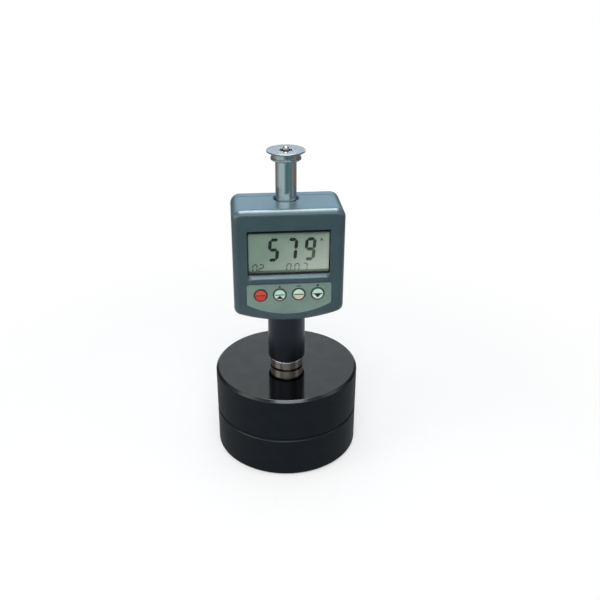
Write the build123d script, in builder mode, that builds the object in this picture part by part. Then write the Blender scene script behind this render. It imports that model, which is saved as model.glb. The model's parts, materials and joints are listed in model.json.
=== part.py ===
from build123d import *
import os
from math import sqrt

# A rebound hardness tester standing on its steel test block.
# Millimetres, +Z up, origin at the middle of the block's underside.
# The display faces -Y, and +X is on the viewer's right.

os.makedirs("parts", exist_ok=True)

# Test block, and where the tester stands on it
block_d = 90.0
block_h = 55.0
block_edge = 1.5
groove_z = 26.5
groove_w = 2.4
groove_deep = 1.2
stand_forward = 0.7

# Fits
slip = 0.05
slide_fit = 0.1
free_gap = 0.3
lead = 0.5
edge_break = 0.3

# Foot: support ring, sleeve and collar
ring_d = 20.6
ring_h = 6.0
ring_edge = 0.8
ring_floor = 2.0
ring_bore_d = 6.6
ring_spigot_h = 3.8
ring_neck_d = 18.6
ring_neck_h = 0.5
foot_d = 20.4
foot_wall = 2.0
foot_seat = 25.0
collar_d = 23.0
collar_h = 34.0
collar_edge = 0.8
spigot_d = 15.6
spigot_over_nut = 0.6
nut_wall = 2.0
nut_h = 3.0
nut_slot = 2.6
nut_slots = 4

# Impact body and its guide
tip_gap = 0.3
tip_d = 3.0
tip_l = 5.0
nose_d = 4.4
nose_start = 2.0
nose_cone_h = 1.8
body_d = 5.4
body_l = 23.0
neck_d = 3.6
neck_l = 2.5
head_d = 5.2
head_l = 8.0
magnet_l = 10.0
guide_bore_d = 6.0
guide_nose_wall = 1.0
guide_wall = 1.0
guide_step = 1.2

# Pick-up coil
bobbin_h = 12.0
bobbin_cheek = 1.0
bobbin_hub = 0.8

# Loading tube, cap and chuck
stroke = 20.0
stroke_spare = 1.0
tube_d = 12.2
tube_exposed = 22.8
tube_seat = 2.5
tube_stop_d = 15.0
tube_stop_h = 2.4
sleeve_wall = 3.4
sleeve_l = 27.6
cap_h = 5.65
cap_disc_d = 22.1
cap_disc_h = 1.0
cap_rim_round = 0.3
cap_neck_d = 16.7
cap_neck_h = 2.9
cap_collar_d = 17.6
cap_collar_edge = 0.5
cap_recess_d = 7.5
cap_recess_h = 10.5
cap_web = 1.5
chuck_socket = 3.5
chuck_wall = 0.4
chuck_lip_h = 1.6
chuck_lip_in = 0.15
chuck_grip = 0.2
chuck_web = 2.0
chuck_bore_top_d = 4.2
chuck_slot = 0.6
chuck_slot_l = 26.0
chuck_fingers = 3
chuck_run = 0.2

# Release button and rod
release_travel = 2.0
rod_d = 3.0
rod_tip_d = 1.2
rod_tip_h = 1.2
rod_stop_d = 3.7
rod_stop_h = 2.0
button_d = 3.9
button_proud = 2.15
button_flange_d = 6.9
button_flange_h = 1.2
button_socket = 2.8

# Springs
loading_wire = 1.2
loading_spring_d = 14.6
loading_turns = 7
impact_wire = 0.5
impact_turns = 13
release_wire = 0.5
release_spring_d = 6.0
release_turns = 4

# Housing
wall = 2.2
rear_wall = 3.0
front_round = 3.3
back_round = 5.0
top_corner_r = 5.6
bottom_corner_r = 4.9
bottom_arc_r = 90.0
seam_back = 4.7
lip_h = 1.2
pad_wall = 3.5
pad_drop = 1.1
pad_rise = 0.8
bush_rim = 1.8
bush_rim_h = 8.4
top_hole_gap = 1.2
top_hole_edge = 0.6
seam_groove = 0.4
boss_r = 2.5
boss_inset = 1.85
boss_lift = 7.8
boss_roof_gap = 0.8
side_gap = 3.95
screw_d = 2.4
screw_head_d = 4.4
screw_head_h = 1.5
screw_l = 14.0
screw_sunk = 0.4
screw_head_round = 0.4
cross_l = 2.6
cross_w = 0.7
cross_deep = 0.9

# Display, ridge and keypad, from the top of the front down
top_margin = 12.0
window_w = 47.6
window_h = 27.3
window_r = 1.0
window_edge = 0.25
window_edge_slope = 45.0
window_recess = 1.0
window_gap = 0.3
view_side = 0.55
view_top = 1.95
view_bottom = 0.6
frame_t = 1.2
frame_rim = 1.5
panel_t = 3.8
ridge_h = 5.1
ridge_proud = 1.3
ridge_slope = 45.0
ridge_round = 0.8
keypad_w = 49.3
keypad_h = 19.55
keypad_side_h = 12.95
keypad_r = 1.5
keypad_t = 0.5
bottom_margin = 5.3
key_d = 7.6
key_pitch = 11.1
key_drop = 6.9
key_proud = 0.4
key_round = 0.35
key_flange = 0.9
key_flange_t = 0.8
key_flange_gap = 0.2
key_stem_d = 3.0
key_stem_l = 0.3
key_travel = 0.5
key_names = ("power_key", "up_key", "set_key", "down_key")

# Circuit board, batteries and door
board_t = 1.6
board_gap = 1.25
board_edge = 0.8
chip_side = 12.0
chip_t = 0.9
switch_side = 6.0
switch_plunger_d = 3.0
switch_plunger_h = 0.7
cell_d = 10.5
cell_l = 44.5
cell_nub_d = 3.8
cell_nub_h = 0.8
cell_gap = 0.1
cell_side_gap = 0.3
tray_wall = 1.2
tray_gap = 1.1
tray_back_gap = 1.0
contact_t = 0.3
contact_gap = 0.95
contact_bump_d = 3.0
contact_margin = 0.6
door_t = 1.7
door_gap = 0.3
door_seat_gap = 0.1
door_rim = 1.0
door_r = 2.0
door_edge = 0.3
door_notch_r = 4.5
door_notch_deep = 1.2
door_grip_w = 16.0
door_grip_h = 1.0
door_grip_pitch = 2.2
door_grip_proud = 0.4
door_grips = 4
door_grip_drop = 6.0

# Heights worked out from the foot up
axis_y = -stand_forward
ring_top = block_h + ring_h
foot_z = ring_top + ring_neck_h
collar_z = foot_z
collar_top = collar_z + collar_h
housing_z = collar_top + pad_drop
floor_z = housing_z + wall + pad_rise
nut_top = floor_z + nut_h
spigot_top = nut_top + spigot_over_nut
keypad_z = housing_z + bottom_margin
keypad_top = keypad_z + keypad_h
window_z = keypad_top + ridge_h + window_gap
window_top = window_z + window_h
key_z = keypad_top - key_drop

# Battery bay and screw heights, and the housing's top above them
boss_low_z = housing_z + boss_lift
tray_z = boss_low_z + boss_r + free_gap
tray_h = cell_l + 2 * (contact_gap + tray_wall)
tray_top = tray_z + tray_h
cell_z = tray_z + tray_wall + contact_gap
boss_high_z = max(tray_top, window_top + frame_rim) + free_gap + boss_r
housing_top = max(window_top + top_margin, boss_high_z + boss_r + boss_roof_gap + wall)
ceiling_z = housing_top - wall

# Heights of the impact device
guide_z = block_h + ring_floor
body_z = block_h + nose_start
neck_z = body_z + body_l
head_z = neck_z + neck_l
head_top = head_z + head_l
guide_step_z = neck_z - guide_step
chuck_z = neck_z + chuck_grip + stroke
chuck_web_z = head_top + 2 * stroke + lead
chuck_web_top = chuck_web_z + chuck_web
cap_z = housing_top + tube_exposed
cap_top = cap_z + cap_h
recess_z = cap_top - cap_recess_h
cap_web_z = recess_z - cap_web
cap_spigot_z = cap_web_z - chuck_socket
guide_top = cap_spigot_z - stroke - stroke_spare
sleeve_z = ceiling_z - sleeve_l
tube_top = cap_z + tube_seat
tube_z = sleeve_z - free_gap - tube_stop_h
button_top = cap_top + button_proud
release_spring_l = release_turns * release_wire + release_travel + lead
button_z = recess_z + release_spring_l
rod_z = chuck_web_top + release_travel + free_gap
rod_top = button_z + button_socket
bobbin_z = ring_top + ring_spigot_h + ring_neck_h

# Radii of the impact device
guide_nose_r = guide_bore_d / 2 + guide_nose_wall
chuck_bore_r = body_d / 2 + chuck_wall
chuck_r = chuck_bore_r + chuck_wall
guide_inner_r = chuck_r + chuck_run
guide_r = guide_inner_r + guide_wall
tube_r = tube_d / 2
tube_inner_r = guide_r + slide_fit
sleeve_inner_r = tube_r + slide_fit
top_hole_r = tube_r + top_hole_gap
sleeve_r = sleeve_inner_r + sleeve_wall
bush_rim_r = sleeve_r + slip + bush_rim
foot_inner_r = foot_d / 2 - foot_wall
spigot_r = spigot_d / 2
nut_r = spigot_r + slip + nut_wall

# Depths worked out from the axis to the front, then back to the rear face
board_back_y = axis_y - bush_rim_r - board_gap
board_y = board_back_y - board_t
panel_y = board_y - panel_t
frame_y = panel_y - frame_t
face_y = frame_y - wall
seam_y = axis_y + seam_back
tray_inner_y = board_back_y + tray_wall
tray_back_y = tray_inner_y + 2 * (cell_d + cell_side_gap)
rear_inner_y = tray_back_y + tray_back_gap
back_y = rear_inner_y + rear_wall

# Widths
tray_inner_w = cell_d + 2 * cell_side_gap
tray_w = tray_inner_w + 2 * tray_wall
tray_x = bush_rim_r + tray_gap + tray_w / 2
half_w = tray_x + tray_w / 2 + side_gap + wall
boss_x = half_w - wall - boss_r - boss_inset
view_w = window_w - 2 * view_side

# Screw and key positions, as (x, z)
boss_points = [(x, z) for z in (boss_low_z, boss_high_z) for x in (-boss_x, boss_x)]
first_key_x = -(len(key_names) - 1) / 2 * key_pitch
key_points = [(first_key_x + i * key_pitch, key_z) for i in range(len(key_names))]

device_axis = Axis((0, axis_y, 0), (0, 0, 1))
device_plane = Plane(origin=(0, axis_y, 0), x_dir=(1, 0, 0), z_dir=(0, -1, 0))


def facing(y):
    """A plane across the tester at depth y, drawn in X and Z, with its normal towards the viewer."""
    return Plane(origin=(0, y, 0), x_dir=(1, 0, 0), z_dir=(0, -1, 0))


def level(z):
    """A level plane at height z whose origin is on the tester's axis."""
    return Plane(origin=(0, axis_y, z))


def turn(*profile, mode=Mode.ADD):
    """Revolve a closed outline of (radius, height) points about the tester's axis."""
    with BuildSketch(device_plane) as section:
        with BuildLine():
            Polyline(*profile, close=True)
        make_face()
    revolve(section.sketch, axis=device_axis, mode=mode)


def pipe(outer_r, inner_r, low, high):
    """A plain ring or tube about the tester's axis."""
    turn((inner_r, low), (outer_r, low), (outer_r, high), (inner_r, high))


def disc(r, low, high, mode=Mode.ADD):
    """A plain cylinder about the tester's axis."""
    turn((0, low), (r, low), (r, high), (0, high), mode=mode)


def coil(mean_r, wire, low, high, turns):
    """A round-wire compression spring between two heights on the tester's axis."""
    rise = high - low - wire
    with BuildLine(level(low + wire / 2)) as centre_line:
        Helix(pitch=rise / turns, height=rise, radius=mean_r)
    start = centre_line.line
    with BuildSketch(Plane(origin=start @ 0, z_dir=start % 0)) as section:
        Circle(wire / 2)
    sweep(section.sketch, path=centre_line.line, is_frenet=True)


def clear_bores():
    """Cut the seats of the guide sleeve and the collar, and the tube's hole with its broken edge."""
    disc(sleeve_r + slip, sleeve_z, ceiling_z, mode=Mode.SUBTRACT)
    disc(spigot_r + slip, collar_top, floor_z, mode=Mode.SUBTRACT)
    turn(
        (0, ceiling_z),
        (top_hole_r, ceiling_z),
        (top_hole_r, housing_top - top_hole_edge),
        (top_hole_r + top_hole_edge, housing_top),
        (0, housing_top),
        mode=Mode.SUBTRACT,
    )


def housing_outline(y, inset):
    """The housing seen from the front, moved inwards by inset: flat top, bowed bottom."""
    side = half_w - inset
    top = housing_top - inset
    arc_r = bottom_arc_r - inset
    low = housing_z + inset
    foot = low + arc_r - sqrt(arc_r**2 - side**2)
    with BuildSketch(facing(y)) as outline:
        with BuildLine():
            Polyline((-side, foot), (-side, top), (side, top), (side, foot))
            ThreePointArc((side, foot), (0, low), (-side, foot))
        make_face()
        fillet(outline.vertices().group_by(Axis.Y)[-1], top_corner_r - inset)
        fillet(outline.vertices().group_by(Axis.Y)[0], bottom_corner_r - inset)
    return outline.sketch


def keypad_outline(y, margin):
    """The key sheet: square shoulders, straight sides and a bowed lower edge."""
    side = keypad_w / 2 + margin
    top = keypad_top + margin
    foot = keypad_top - keypad_side_h
    with BuildSketch(facing(y)) as outline:
        with BuildLine():
            Polyline((-side, foot), (-side, top), (side, top), (side, foot))
            ThreePointArc((side, foot), (0, keypad_z - margin), (-side, foot))
        make_face()
        fillet(outline.vertices(), keypad_r)
    return outline.sketch


# Test block: turned steel with a V groove round the side
with BuildPart() as test_block:
    Cylinder(block_d / 2, block_h, align=(Align.CENTER, Align.CENTER, Align.MIN))
    rims = test_block.edges().filter_by(GeomType.CIRCLE)
    chamfer(rims, block_edge)
    with BuildSketch(Plane.XZ):
        with BuildLine():
            Polyline(
                (block_d / 2 + lead, groove_z - groove_w / 2),
                (block_d / 2, groove_z - groove_w / 2),
                (block_d / 2 - groove_deep, groove_z),
                (block_d / 2, groove_z + groove_w / 2),
                (block_d / 2 + lead, groove_z + groove_w / 2),
                close=True,
            )
        make_face()
    revolve(axis=Axis.Z, mode=Mode.SUBTRACT)
test_block.part.label = "test_block"
export_step(test_block.part, "parts/test_block.step")

# Support ring: stands on the work, carries the guide tube and the sleeve
with BuildPart() as support_ring:
    ring_r = ring_d / 2
    spigot_in_foot_r = foot_inner_r - slip
    turn(
        (ring_bore_d / 2, block_h),
        (ring_r - ring_edge, block_h),
        (ring_r, block_h + ring_edge),
        (ring_r, ring_top - edge_break),
        (ring_r - edge_break, ring_top),
        (ring_neck_d / 2, ring_top),
        (ring_neck_d / 2, foot_z),
        (spigot_in_foot_r, foot_z),
        (spigot_in_foot_r, bobbin_z),
        (guide_nose_r + slip, bobbin_z),
        (guide_nose_r + slip, guide_z),
        (ring_bore_d / 2, guide_z),
    )
support_ring.part.label = "support_ring"
export_step(support_ring.part, "parts/support_ring.step")

# Foot sleeve: steel tube inside the collar, on the ring's spigot, round the coil
with BuildPart() as foot_sleeve:
    turn(
        (foot_inner_r, foot_z),
        (foot_d / 2 - edge_break, foot_z),
        (foot_d / 2, foot_z + edge_break),
        (foot_d / 2, collar_z + foot_seat),
        (foot_inner_r, collar_z + foot_seat),
    )
foot_sleeve.part.label = "foot_sleeve"
export_step(foot_sleeve.part, "parts/foot_sleeve.step")

# Lock collar: dark grip over the sleeve, from the ring up to the housing's floor
with BuildPart() as lock_collar:
    collar_r = collar_d / 2
    turn(
        (foot_d / 2 + slip, collar_z),
        (collar_r - collar_edge, collar_z),
        (collar_r, collar_z + collar_edge),
        (collar_r, collar_top - edge_break),
        (collar_r - edge_break, collar_top),
        (spigot_r, collar_top),
        (spigot_r, spigot_top),
        (guide_r + slip, spigot_top),
        (guide_r + slip, collar_z + foot_seat),
        (foot_d / 2 + slip, collar_z + foot_seat),
    )
lock_collar.part.label = "lock_collar"
export_step(lock_collar.part, "parts/lock_collar.step")

# Lock nut: slotted ring nut on the collar's spigot
with BuildPart() as lock_nut:
    pipe(nut_r, spigot_r + slip, floor_z, nut_top)
    with BuildSketch(level(floor_z + nut_h / 2)):
        with PolarLocations(nut_r, nut_slots):
            Rectangle(nut_wall, nut_slot)
    extrude(amount=nut_h, mode=Mode.SUBTRACT)
lock_nut.part.label = "lock_nut"
export_step(lock_nut.part, "parts/lock_nut.step")

# Guide tube: narrow nose for the impact body, wider above for the chuck
with BuildPart() as guide_tube:
    turn(
        (guide_bore_d / 2, guide_z),
        (guide_nose_r, guide_z),
        (guide_nose_r, guide_step_z),
        (guide_r, guide_step_z),
        (guide_r, guide_top),
        (guide_inner_r, guide_top),
        (guide_inner_r, guide_step_z),
        (guide_bore_d / 2, guide_step_z - guide_step),
    )
guide_tube.part.label = "guide_tube"
export_step(guide_tube.part, "parts/guide_tube.step")

# Coil bobbin and its winding, on the guide tube's nose
with BuildPart() as coil_bobbin:
    bobbin_r = foot_inner_r - free_gap
    hub_in = guide_nose_r + slip
    hub_out = hub_in + bobbin_hub
    turn(
        (hub_in, bobbin_z),
        (bobbin_r, bobbin_z),
        (bobbin_r, bobbin_z + bobbin_cheek),
        (hub_out, bobbin_z + bobbin_cheek),
        (hub_out, bobbin_z + bobbin_h - bobbin_cheek),
        (bobbin_r, bobbin_z + bobbin_h - bobbin_cheek),
        (bobbin_r, bobbin_z + bobbin_h),
        (hub_in, bobbin_z + bobbin_h),
    )
coil_bobbin.part.label = "coil_bobbin"
export_step(coil_bobbin.part, "parts/coil_bobbin.step")

with BuildPart() as coil_winding:
    pipe(
        bobbin_r - lead,
        hub_out + slip,
        bobbin_z + bobbin_cheek,
        bobbin_z + bobbin_h - bobbin_cheek,
    )
coil_winding.part.label = "coil_winding"
export_step(coil_winding.part, "parts/coil_winding.step")

# Impact body: nose cone, shank, neck and the head that the chuck grips
with BuildPart() as impact_body:
    pocket_r = tip_d / 2 + slip
    magnet_top = body_z + tip_l + magnet_l
    turn(
        (pocket_r, body_z),
        (nose_d / 2, body_z),
        (body_d / 2, body_z + nose_cone_h),
        (body_d / 2, neck_z),
        (neck_d / 2, neck_z),
        (neck_d / 2, head_z),
        (head_d / 2, head_z),
        (head_d / 2, head_top - lead),
        (head_d / 2 - lead, head_top),
        (0, head_top),
        (0, magnet_top),
        (pocket_r, magnet_top),
    )
impact_body.part.label = "impact_body"
export_step(impact_body.part, "parts/impact_body.step")

# Impact tip: hard ball end on a pin
with BuildPart() as impact_tip:
    tip_r = tip_d / 2
    tip_z = block_h + tip_gap
    with BuildSketch(device_plane):
        with BuildLine():
            RadiusArc((0, tip_z), (tip_r, tip_z + tip_r), -tip_r)
            Polyline((tip_r, tip_z + tip_r), (tip_r, body_z + tip_l), (0, body_z + tip_l), (0, tip_z))
        make_face()
    revolve(axis=device_axis)
impact_tip.part.label = "impact_tip"
export_step(impact_tip.part, "parts/impact_tip.step")

with BuildPart() as impact_magnet:
    disc(tip_d / 2, body_z + tip_l, magnet_top)
impact_magnet.part.label = "impact_magnet"
export_step(impact_magnet.part, "parts/impact_magnet.step")

# Guide sleeve: bush under the housing's top that the loading tube slides in
with BuildPart() as guide_sleeve:
    pipe(sleeve_r, sleeve_inner_r, sleeve_z, ceiling_z)
    mouth = guide_sleeve.edges().filter_by(GeomType.CIRCLE).group_by(Axis.Z)[-1].sort_by(SortBy.RADIUS)[0]
    chamfer(mouth, lead)
guide_sleeve.part.label = "guide_sleeve"
export_step(guide_sleeve.part, "parts/guide_sleeve.step")

# Loading tube: slides over the guide tube, with a stop under the bush
with BuildPart() as loading_tube:
    turn(
        (tube_inner_r, tube_z),
        (tube_stop_d / 2, tube_z),
        (tube_stop_d / 2, tube_z + tube_stop_h),
        (tube_r, tube_z + tube_stop_h),
        (tube_r, tube_top),
        (tube_inner_r, tube_top),
    )
loading_tube.part.label = "loading_tube"
export_step(loading_tube.part, "parts/loading_tube.step")

# Loading cap: finger flange over a collar, with a spigot inside the tube
with BuildPart() as loading_cap:
    disc_r = cap_disc_d / 2
    disc_z = cap_top - cap_disc_h
    cap_collar_r = cap_collar_d / 2
    cap_collar_top = disc_z - cap_neck_h
    cap_spigot_r = tube_inner_r - slip
    turn(
        (rod_d / 2 + slide_fit, cap_web_z),
        (chuck_r + slip, cap_web_z),
        (chuck_r + slip, cap_spigot_z),
        (cap_spigot_r, cap_spigot_z),
        (cap_spigot_r, tube_top),
        (tube_r + slip, tube_top),
        (tube_r + slip, cap_z),
        (cap_collar_r - cap_collar_edge, cap_z),
        (cap_collar_r, cap_z + cap_collar_edge),
        (cap_collar_r, cap_collar_top - cap_collar_edge),
        (cap_neck_d / 2, cap_collar_top),
        (cap_neck_d / 2, disc_z),
        (disc_r, disc_z),
        (disc_r, cap_top),
        (cap_recess_d / 2, cap_top),
        (cap_recess_d / 2, recess_z),
        (rod_d / 2 + slide_fit, recess_z),
    )
    rim = loading_cap.edges().filter_by(GeomType.CIRCLE).sort_by(SortBy.RADIUS)[-2:]
    fillet(rim, cap_rim_round)
    mouth = loading_cap.edges().filter_by(GeomType.CIRCLE).group_by(Axis.Z)[-1].sort_by(SortBy.RADIUS)[0]
    chamfer(mouth, edge_break)
loading_cap.part.label = "loading_cap"
export_step(loading_cap.part, "parts/loading_cap.step")

# Catch chuck: slotted collet under the cap
with BuildPart() as catch_chuck:
    lip_r = chuck_bore_r - chuck_lip_in
    lip_top = chuck_z + chuck_lip_h
    turn(
        (lip_r, chuck_z),
        (chuck_r, chuck_z),
        (chuck_r, cap_web_z),
        (chuck_bore_top_d / 2, cap_web_z),
        (chuck_bore_top_d / 2, chuck_web_top),
        (rod_tip_d / 2, chuck_web_top),
        (rod_tip_d / 2, chuck_web_z),
        (chuck_bore_r, chuck_web_z),
        (chuck_bore_r, lip_top),
        (lip_r, lip_top),
    )
    with BuildSketch(level(chuck_z)):
        with PolarLocations(chuck_bore_r, chuck_fingers):
            Rectangle(chuck_r, chuck_slot)
    extrude(amount=chuck_slot_l, mode=Mode.SUBTRACT)
catch_chuck.part.label = "catch_chuck"
export_step(catch_chuck.part, "parts/catch_chuck.step")

# Springs of the loading tube, the impact body and the button
with BuildPart() as loading_spring:
    coil((loading_spring_d - loading_wire) / 2, loading_wire, spigot_top, tube_z, loading_turns)
loading_spring.part.label = "loading_spring"
export_step(loading_spring.part, "parts/loading_spring.step")

with BuildPart() as impact_spring:
    impact_spring_r = chuck_bore_r - slide_fit - impact_wire / 2
    coil(impact_spring_r, impact_wire, lip_top + lead, chuck_web_z, impact_turns)
impact_spring.part.label = "impact_spring"
export_step(impact_spring.part, "parts/impact_spring.step")

with BuildPart() as release_spring:
    coil((release_spring_d - release_wire) / 2, release_wire, recess_z, button_z, release_turns)
release_spring.part.label = "release_spring"
export_step(release_spring.part, "parts/release_spring.step")

# Release rod: from the button down to the chuck's fingers
with BuildPart() as release_rod:
    rod_r = rod_d / 2
    stop_z = cap_web_z - free_gap - rod_stop_h
    turn(
        (0, rod_z),
        (rod_tip_d / 2, rod_z),
        (rod_r, rod_z + rod_tip_h),
        (rod_r, stop_z),
        (rod_stop_d / 2, stop_z),
        (rod_stop_d / 2, stop_z + rod_stop_h),
        (rod_r, stop_z + rod_stop_h),
        (rod_r, rod_top),
        (0, rod_top),
    )
release_rod.part.label = "release_rod"
export_step(release_rod.part, "parts/release_rod.step")

# Release button: domed pin on a flange
with BuildPart() as release_button:
    button_r = button_d / 2
    dome_z = button_top - button_r
    with BuildSketch(device_plane):
        with BuildLine():
            Polyline(
                (0, rod_top),
                (rod_r + slip, rod_top),
                (rod_r + slip, button_z),
                (button_flange_d / 2, button_z),
                (button_flange_d / 2, button_z + button_flange_h),
                (button_r, button_z + button_flange_h),
                (button_r, dome_z),
            )
            RadiusArc((button_r, dome_z), (0, button_top), -button_r)
            Line((0, button_top), (0, rod_top))
        make_face()
    revolve(axis=device_axis)
release_button.part.label = "release_button"
export_step(release_button.part, "parts/release_button.step")

# Front shell: outer form, cavity, bosses and rims, cut at the seam, then the lip and the openings
with BuildPart() as front_shell:
    extrude(housing_outline(face_y, 0), amount=face_y - seam_y)
    fillet(front_shell.faces().sort_by(Axis.Y)[0].edges(), front_round)
    extrude(housing_outline(face_y + wall, wall), amount=face_y + wall - seam_y, mode=Mode.SUBTRACT)
    with BuildSketch(facing(face_y + wall)):
        with Locations(*boss_points):
            Circle(boss_r)
    extrude(amount=face_y + wall - seam_y)
    disc(bush_rim_r, ceiling_z - bush_rim_h, ceiling_z)
    disc(spigot_r + pad_wall, collar_top, floor_z)
    split(bisect_by=facing(seam_y), keep=Keep.TOP)
    lip_gap = wall / 2 + slip
    lip_ring = housing_outline(seam_y, lip_gap) - housing_outline(seam_y, wall)
    extrude(lip_ring, amount=-lip_h)
    seam_ring = housing_outline(seam_y, 0) - housing_outline(seam_y, seam_groove)
    extrude(seam_ring, amount=seam_groove, mode=Mode.SUBTRACT)
    clear_bores()
    window_mid = (window_z + window_top) / 2
    with BuildSketch(facing(face_y)):
        with Locations((0, window_mid)):
            RectangleRounded(window_w, window_h, window_r)
        with Locations(*key_points):
            Circle(key_d / 2 + free_gap)
    extrude(amount=-wall, mode=Mode.SUBTRACT)
    with BuildSketch(facing(face_y)):
        with Locations((0, window_mid)):
            RectangleRounded(
                window_w + 2 * window_edge,
                window_h + 2 * window_edge,
                window_r + window_edge,
            )
    extrude(amount=-window_edge, taper=window_edge_slope, mode=Mode.SUBTRACT)
    extrude(keypad_outline(face_y, slide_fit), amount=-keypad_t, mode=Mode.SUBTRACT)
    with BuildSketch(facing(face_y)):
        with Locations((0, keypad_top + ridge_h / 2)):
            RectangleRounded(window_w, ridge_h - 2 * slide_fit, ridge_h / 2 - 2 * slide_fit)
    extrude(amount=ridge_proud, taper=ridge_slope)
    fillet(front_shell.faces().sort_by(Axis.Y)[0].edges(), ridge_round)
    with BuildSketch(facing(seam_y)):
        with Locations(*boss_points):
            Circle(screw_d / 2 + slip)
    extrude(amount=screw_l, mode=Mode.SUBTRACT)
front_shell.part.label = "front_shell"
export_step(front_shell.part, "parts/front_shell.step")

# Rear shell: the same section behind the seam, with the battery bay's two windows
door_w = 2 * (tray_x + tray_w / 2 - tray_wall + door_rim)
door_low = tray_z + tray_wall
door_h = tray_h - 2 * tray_wall
door_mid = (0, door_low + door_h / 2)
with BuildPart() as rear_shell:
    extrude(housing_outline(back_y, 0), amount=back_y - seam_y)
    fillet(rear_shell.faces().sort_by(Axis.Y)[-1].edges(), back_round)
    extrude(housing_outline(rear_inner_y, wall), amount=rear_inner_y - seam_y, mode=Mode.SUBTRACT)
    with BuildSketch(facing(rear_inner_y)):
        with Locations(*boss_points):
            Circle(boss_r)
    extrude(amount=rear_inner_y - seam_y)
    disc(bush_rim_r, ceiling_z - bush_rim_h, ceiling_z)
    disc(spigot_r + pad_wall, collar_top, floor_z)
    split(bisect_by=facing(seam_y), keep=Keep.BOTTOM)
    rebate = housing_outline(seam_y, wall / 2) - housing_outline(seam_y, wall)
    extrude(rebate, amount=-lip_h - slide_fit, mode=Mode.SUBTRACT)
    clear_bores()
    with BuildSketch(facing(back_y)):
        with Locations(door_mid):
            RectangleRounded(door_w + 2 * door_gap, door_h + 2 * door_gap, door_r + door_gap)
    extrude(amount=door_t + door_seat_gap, mode=Mode.SUBTRACT)
    with BuildSketch(facing(back_y)):
        with Locations((0, door_low + door_h)):
            Circle(door_notch_r)
    extrude(amount=door_notch_deep, mode=Mode.SUBTRACT)
    with BuildSketch(facing(back_y)):
        with Locations((-tray_x, door_mid[1]), (tray_x, door_mid[1])):
            Rectangle(tray_inner_w, door_h - 2 * door_rim)
    extrude(amount=rear_wall, mode=Mode.SUBTRACT)
    with BuildSketch(facing(back_y)):
        with Locations(*boss_points):
            Circle(screw_d / 2 + slip)
    extrude(amount=back_y - seam_y, mode=Mode.SUBTRACT)
    with BuildSketch(facing(back_y)):
        with Locations(*boss_points):
            Circle(screw_head_d / 2 + slide_fit)
    extrude(amount=screw_head_h + screw_sunk, mode=Mode.SUBTRACT)
rear_shell.part.label = "rear_shell"
export_step(rear_shell.part, "parts/rear_shell.step")

# Housing screws: four, from the back into the front shell's bosses
with BuildPart() as housing_screws:
    head_y = back_y - screw_sunk
    with BuildSketch(facing(head_y)):
        with Locations(*boss_points):
            Circle(screw_head_d / 2)
    extrude(amount=screw_head_h)
    fillet(housing_screws.edges().group_by(Axis.Y)[-1], screw_head_round)
    with BuildSketch(facing(head_y)):
        with Locations(*boss_points):
            Rectangle(cross_l, cross_w)
            Rectangle(cross_w, cross_l)
    extrude(amount=cross_deep, mode=Mode.SUBTRACT)
    with BuildSketch(facing(head_y - screw_head_h)):
        with Locations(*boss_points):
            Circle(screw_d / 2)
    extrude(amount=screw_l)
housing_screws.part.label = "housing_screws"
export_step(housing_screws.part, "parts/housing_screws.step")

# Display: clear pane in the opening, black frame behind the wall, panel on the board
with BuildPart() as window_pane:
    with BuildSketch(facing(face_y + window_recess)):
        with Locations((0, window_mid)):
            RectangleRounded(window_w - 2 * slide_fit, window_h - 2 * slide_fit, window_r)
    extrude(amount=window_recess - wall)
window_pane.part.label = "window_pane"
export_step(window_pane.part, "parts/window_pane.step")

frame_w = window_w + 2 * frame_rim
frame_h = window_h + 2 * frame_rim
view_low = window_z + view_bottom
view_h = window_h - view_bottom - view_top
with BuildPart() as display_frame:
    with BuildSketch(facing(frame_y)):
        with Locations((0, window_mid)):
            Rectangle(frame_w, frame_h)
        with Locations((0, view_low + view_h / 2)):
            Rectangle(view_w, view_h, mode=Mode.SUBTRACT)
    extrude(amount=-frame_t)
display_frame.part.label = "display_frame"
export_step(display_frame.part, "parts/display_frame.step")

with BuildPart() as display_panel:
    with BuildSketch(facing(panel_y)):
        with Locations((0, window_mid)):
            Rectangle(window_w, window_h)
    extrude(amount=-panel_t)
display_panel.part.label = "display_panel"
export_step(display_panel.part, "parts/display_panel.step")

# Keypad overlay: thin sheet in its recess, with holes round the keys
with BuildPart() as keypad_overlay:
    extrude(keypad_outline(face_y, 0), amount=-keypad_t)
    with BuildSketch(facing(face_y)):
        with Locations(*key_points):
            Circle(key_d / 2 + free_gap)
    extrude(amount=-keypad_t, mode=Mode.SUBTRACT)
keypad_overlay.part.label = "keypad_overlay"
export_step(keypad_overlay.part, "parts/keypad_overlay.step")

# Keys: round caps held behind the wall by a flange, each over its own switch
key_front = face_y - key_proud
key_flange_y = face_y + wall + key_flange_gap
key_flange_back = key_flange_y + key_flange_t
for key_name, key_point in zip(key_names, key_points):
    with BuildPart() as key:
        with BuildSketch(facing(key_flange_y)):
            with Locations(key_point):
                Circle(key_d / 2)
        extrude(amount=key_flange_y - key_front)
        fillet(key.faces().sort_by(Axis.Y)[0].edges(), key_round)
        with BuildSketch(facing(key_flange_y)):
            with Locations(key_point):
                Circle(key_d / 2 + key_flange)
        extrude(amount=-key_flange_t)
        with BuildSketch(facing(key_flange_back)):
            with Locations(key_point):
                Circle(key_stem_d / 2)
        extrude(amount=-key_stem_l)
    key.part.label = key_name
    export_step(key.part, f"parts/{key_name}.step")

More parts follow.
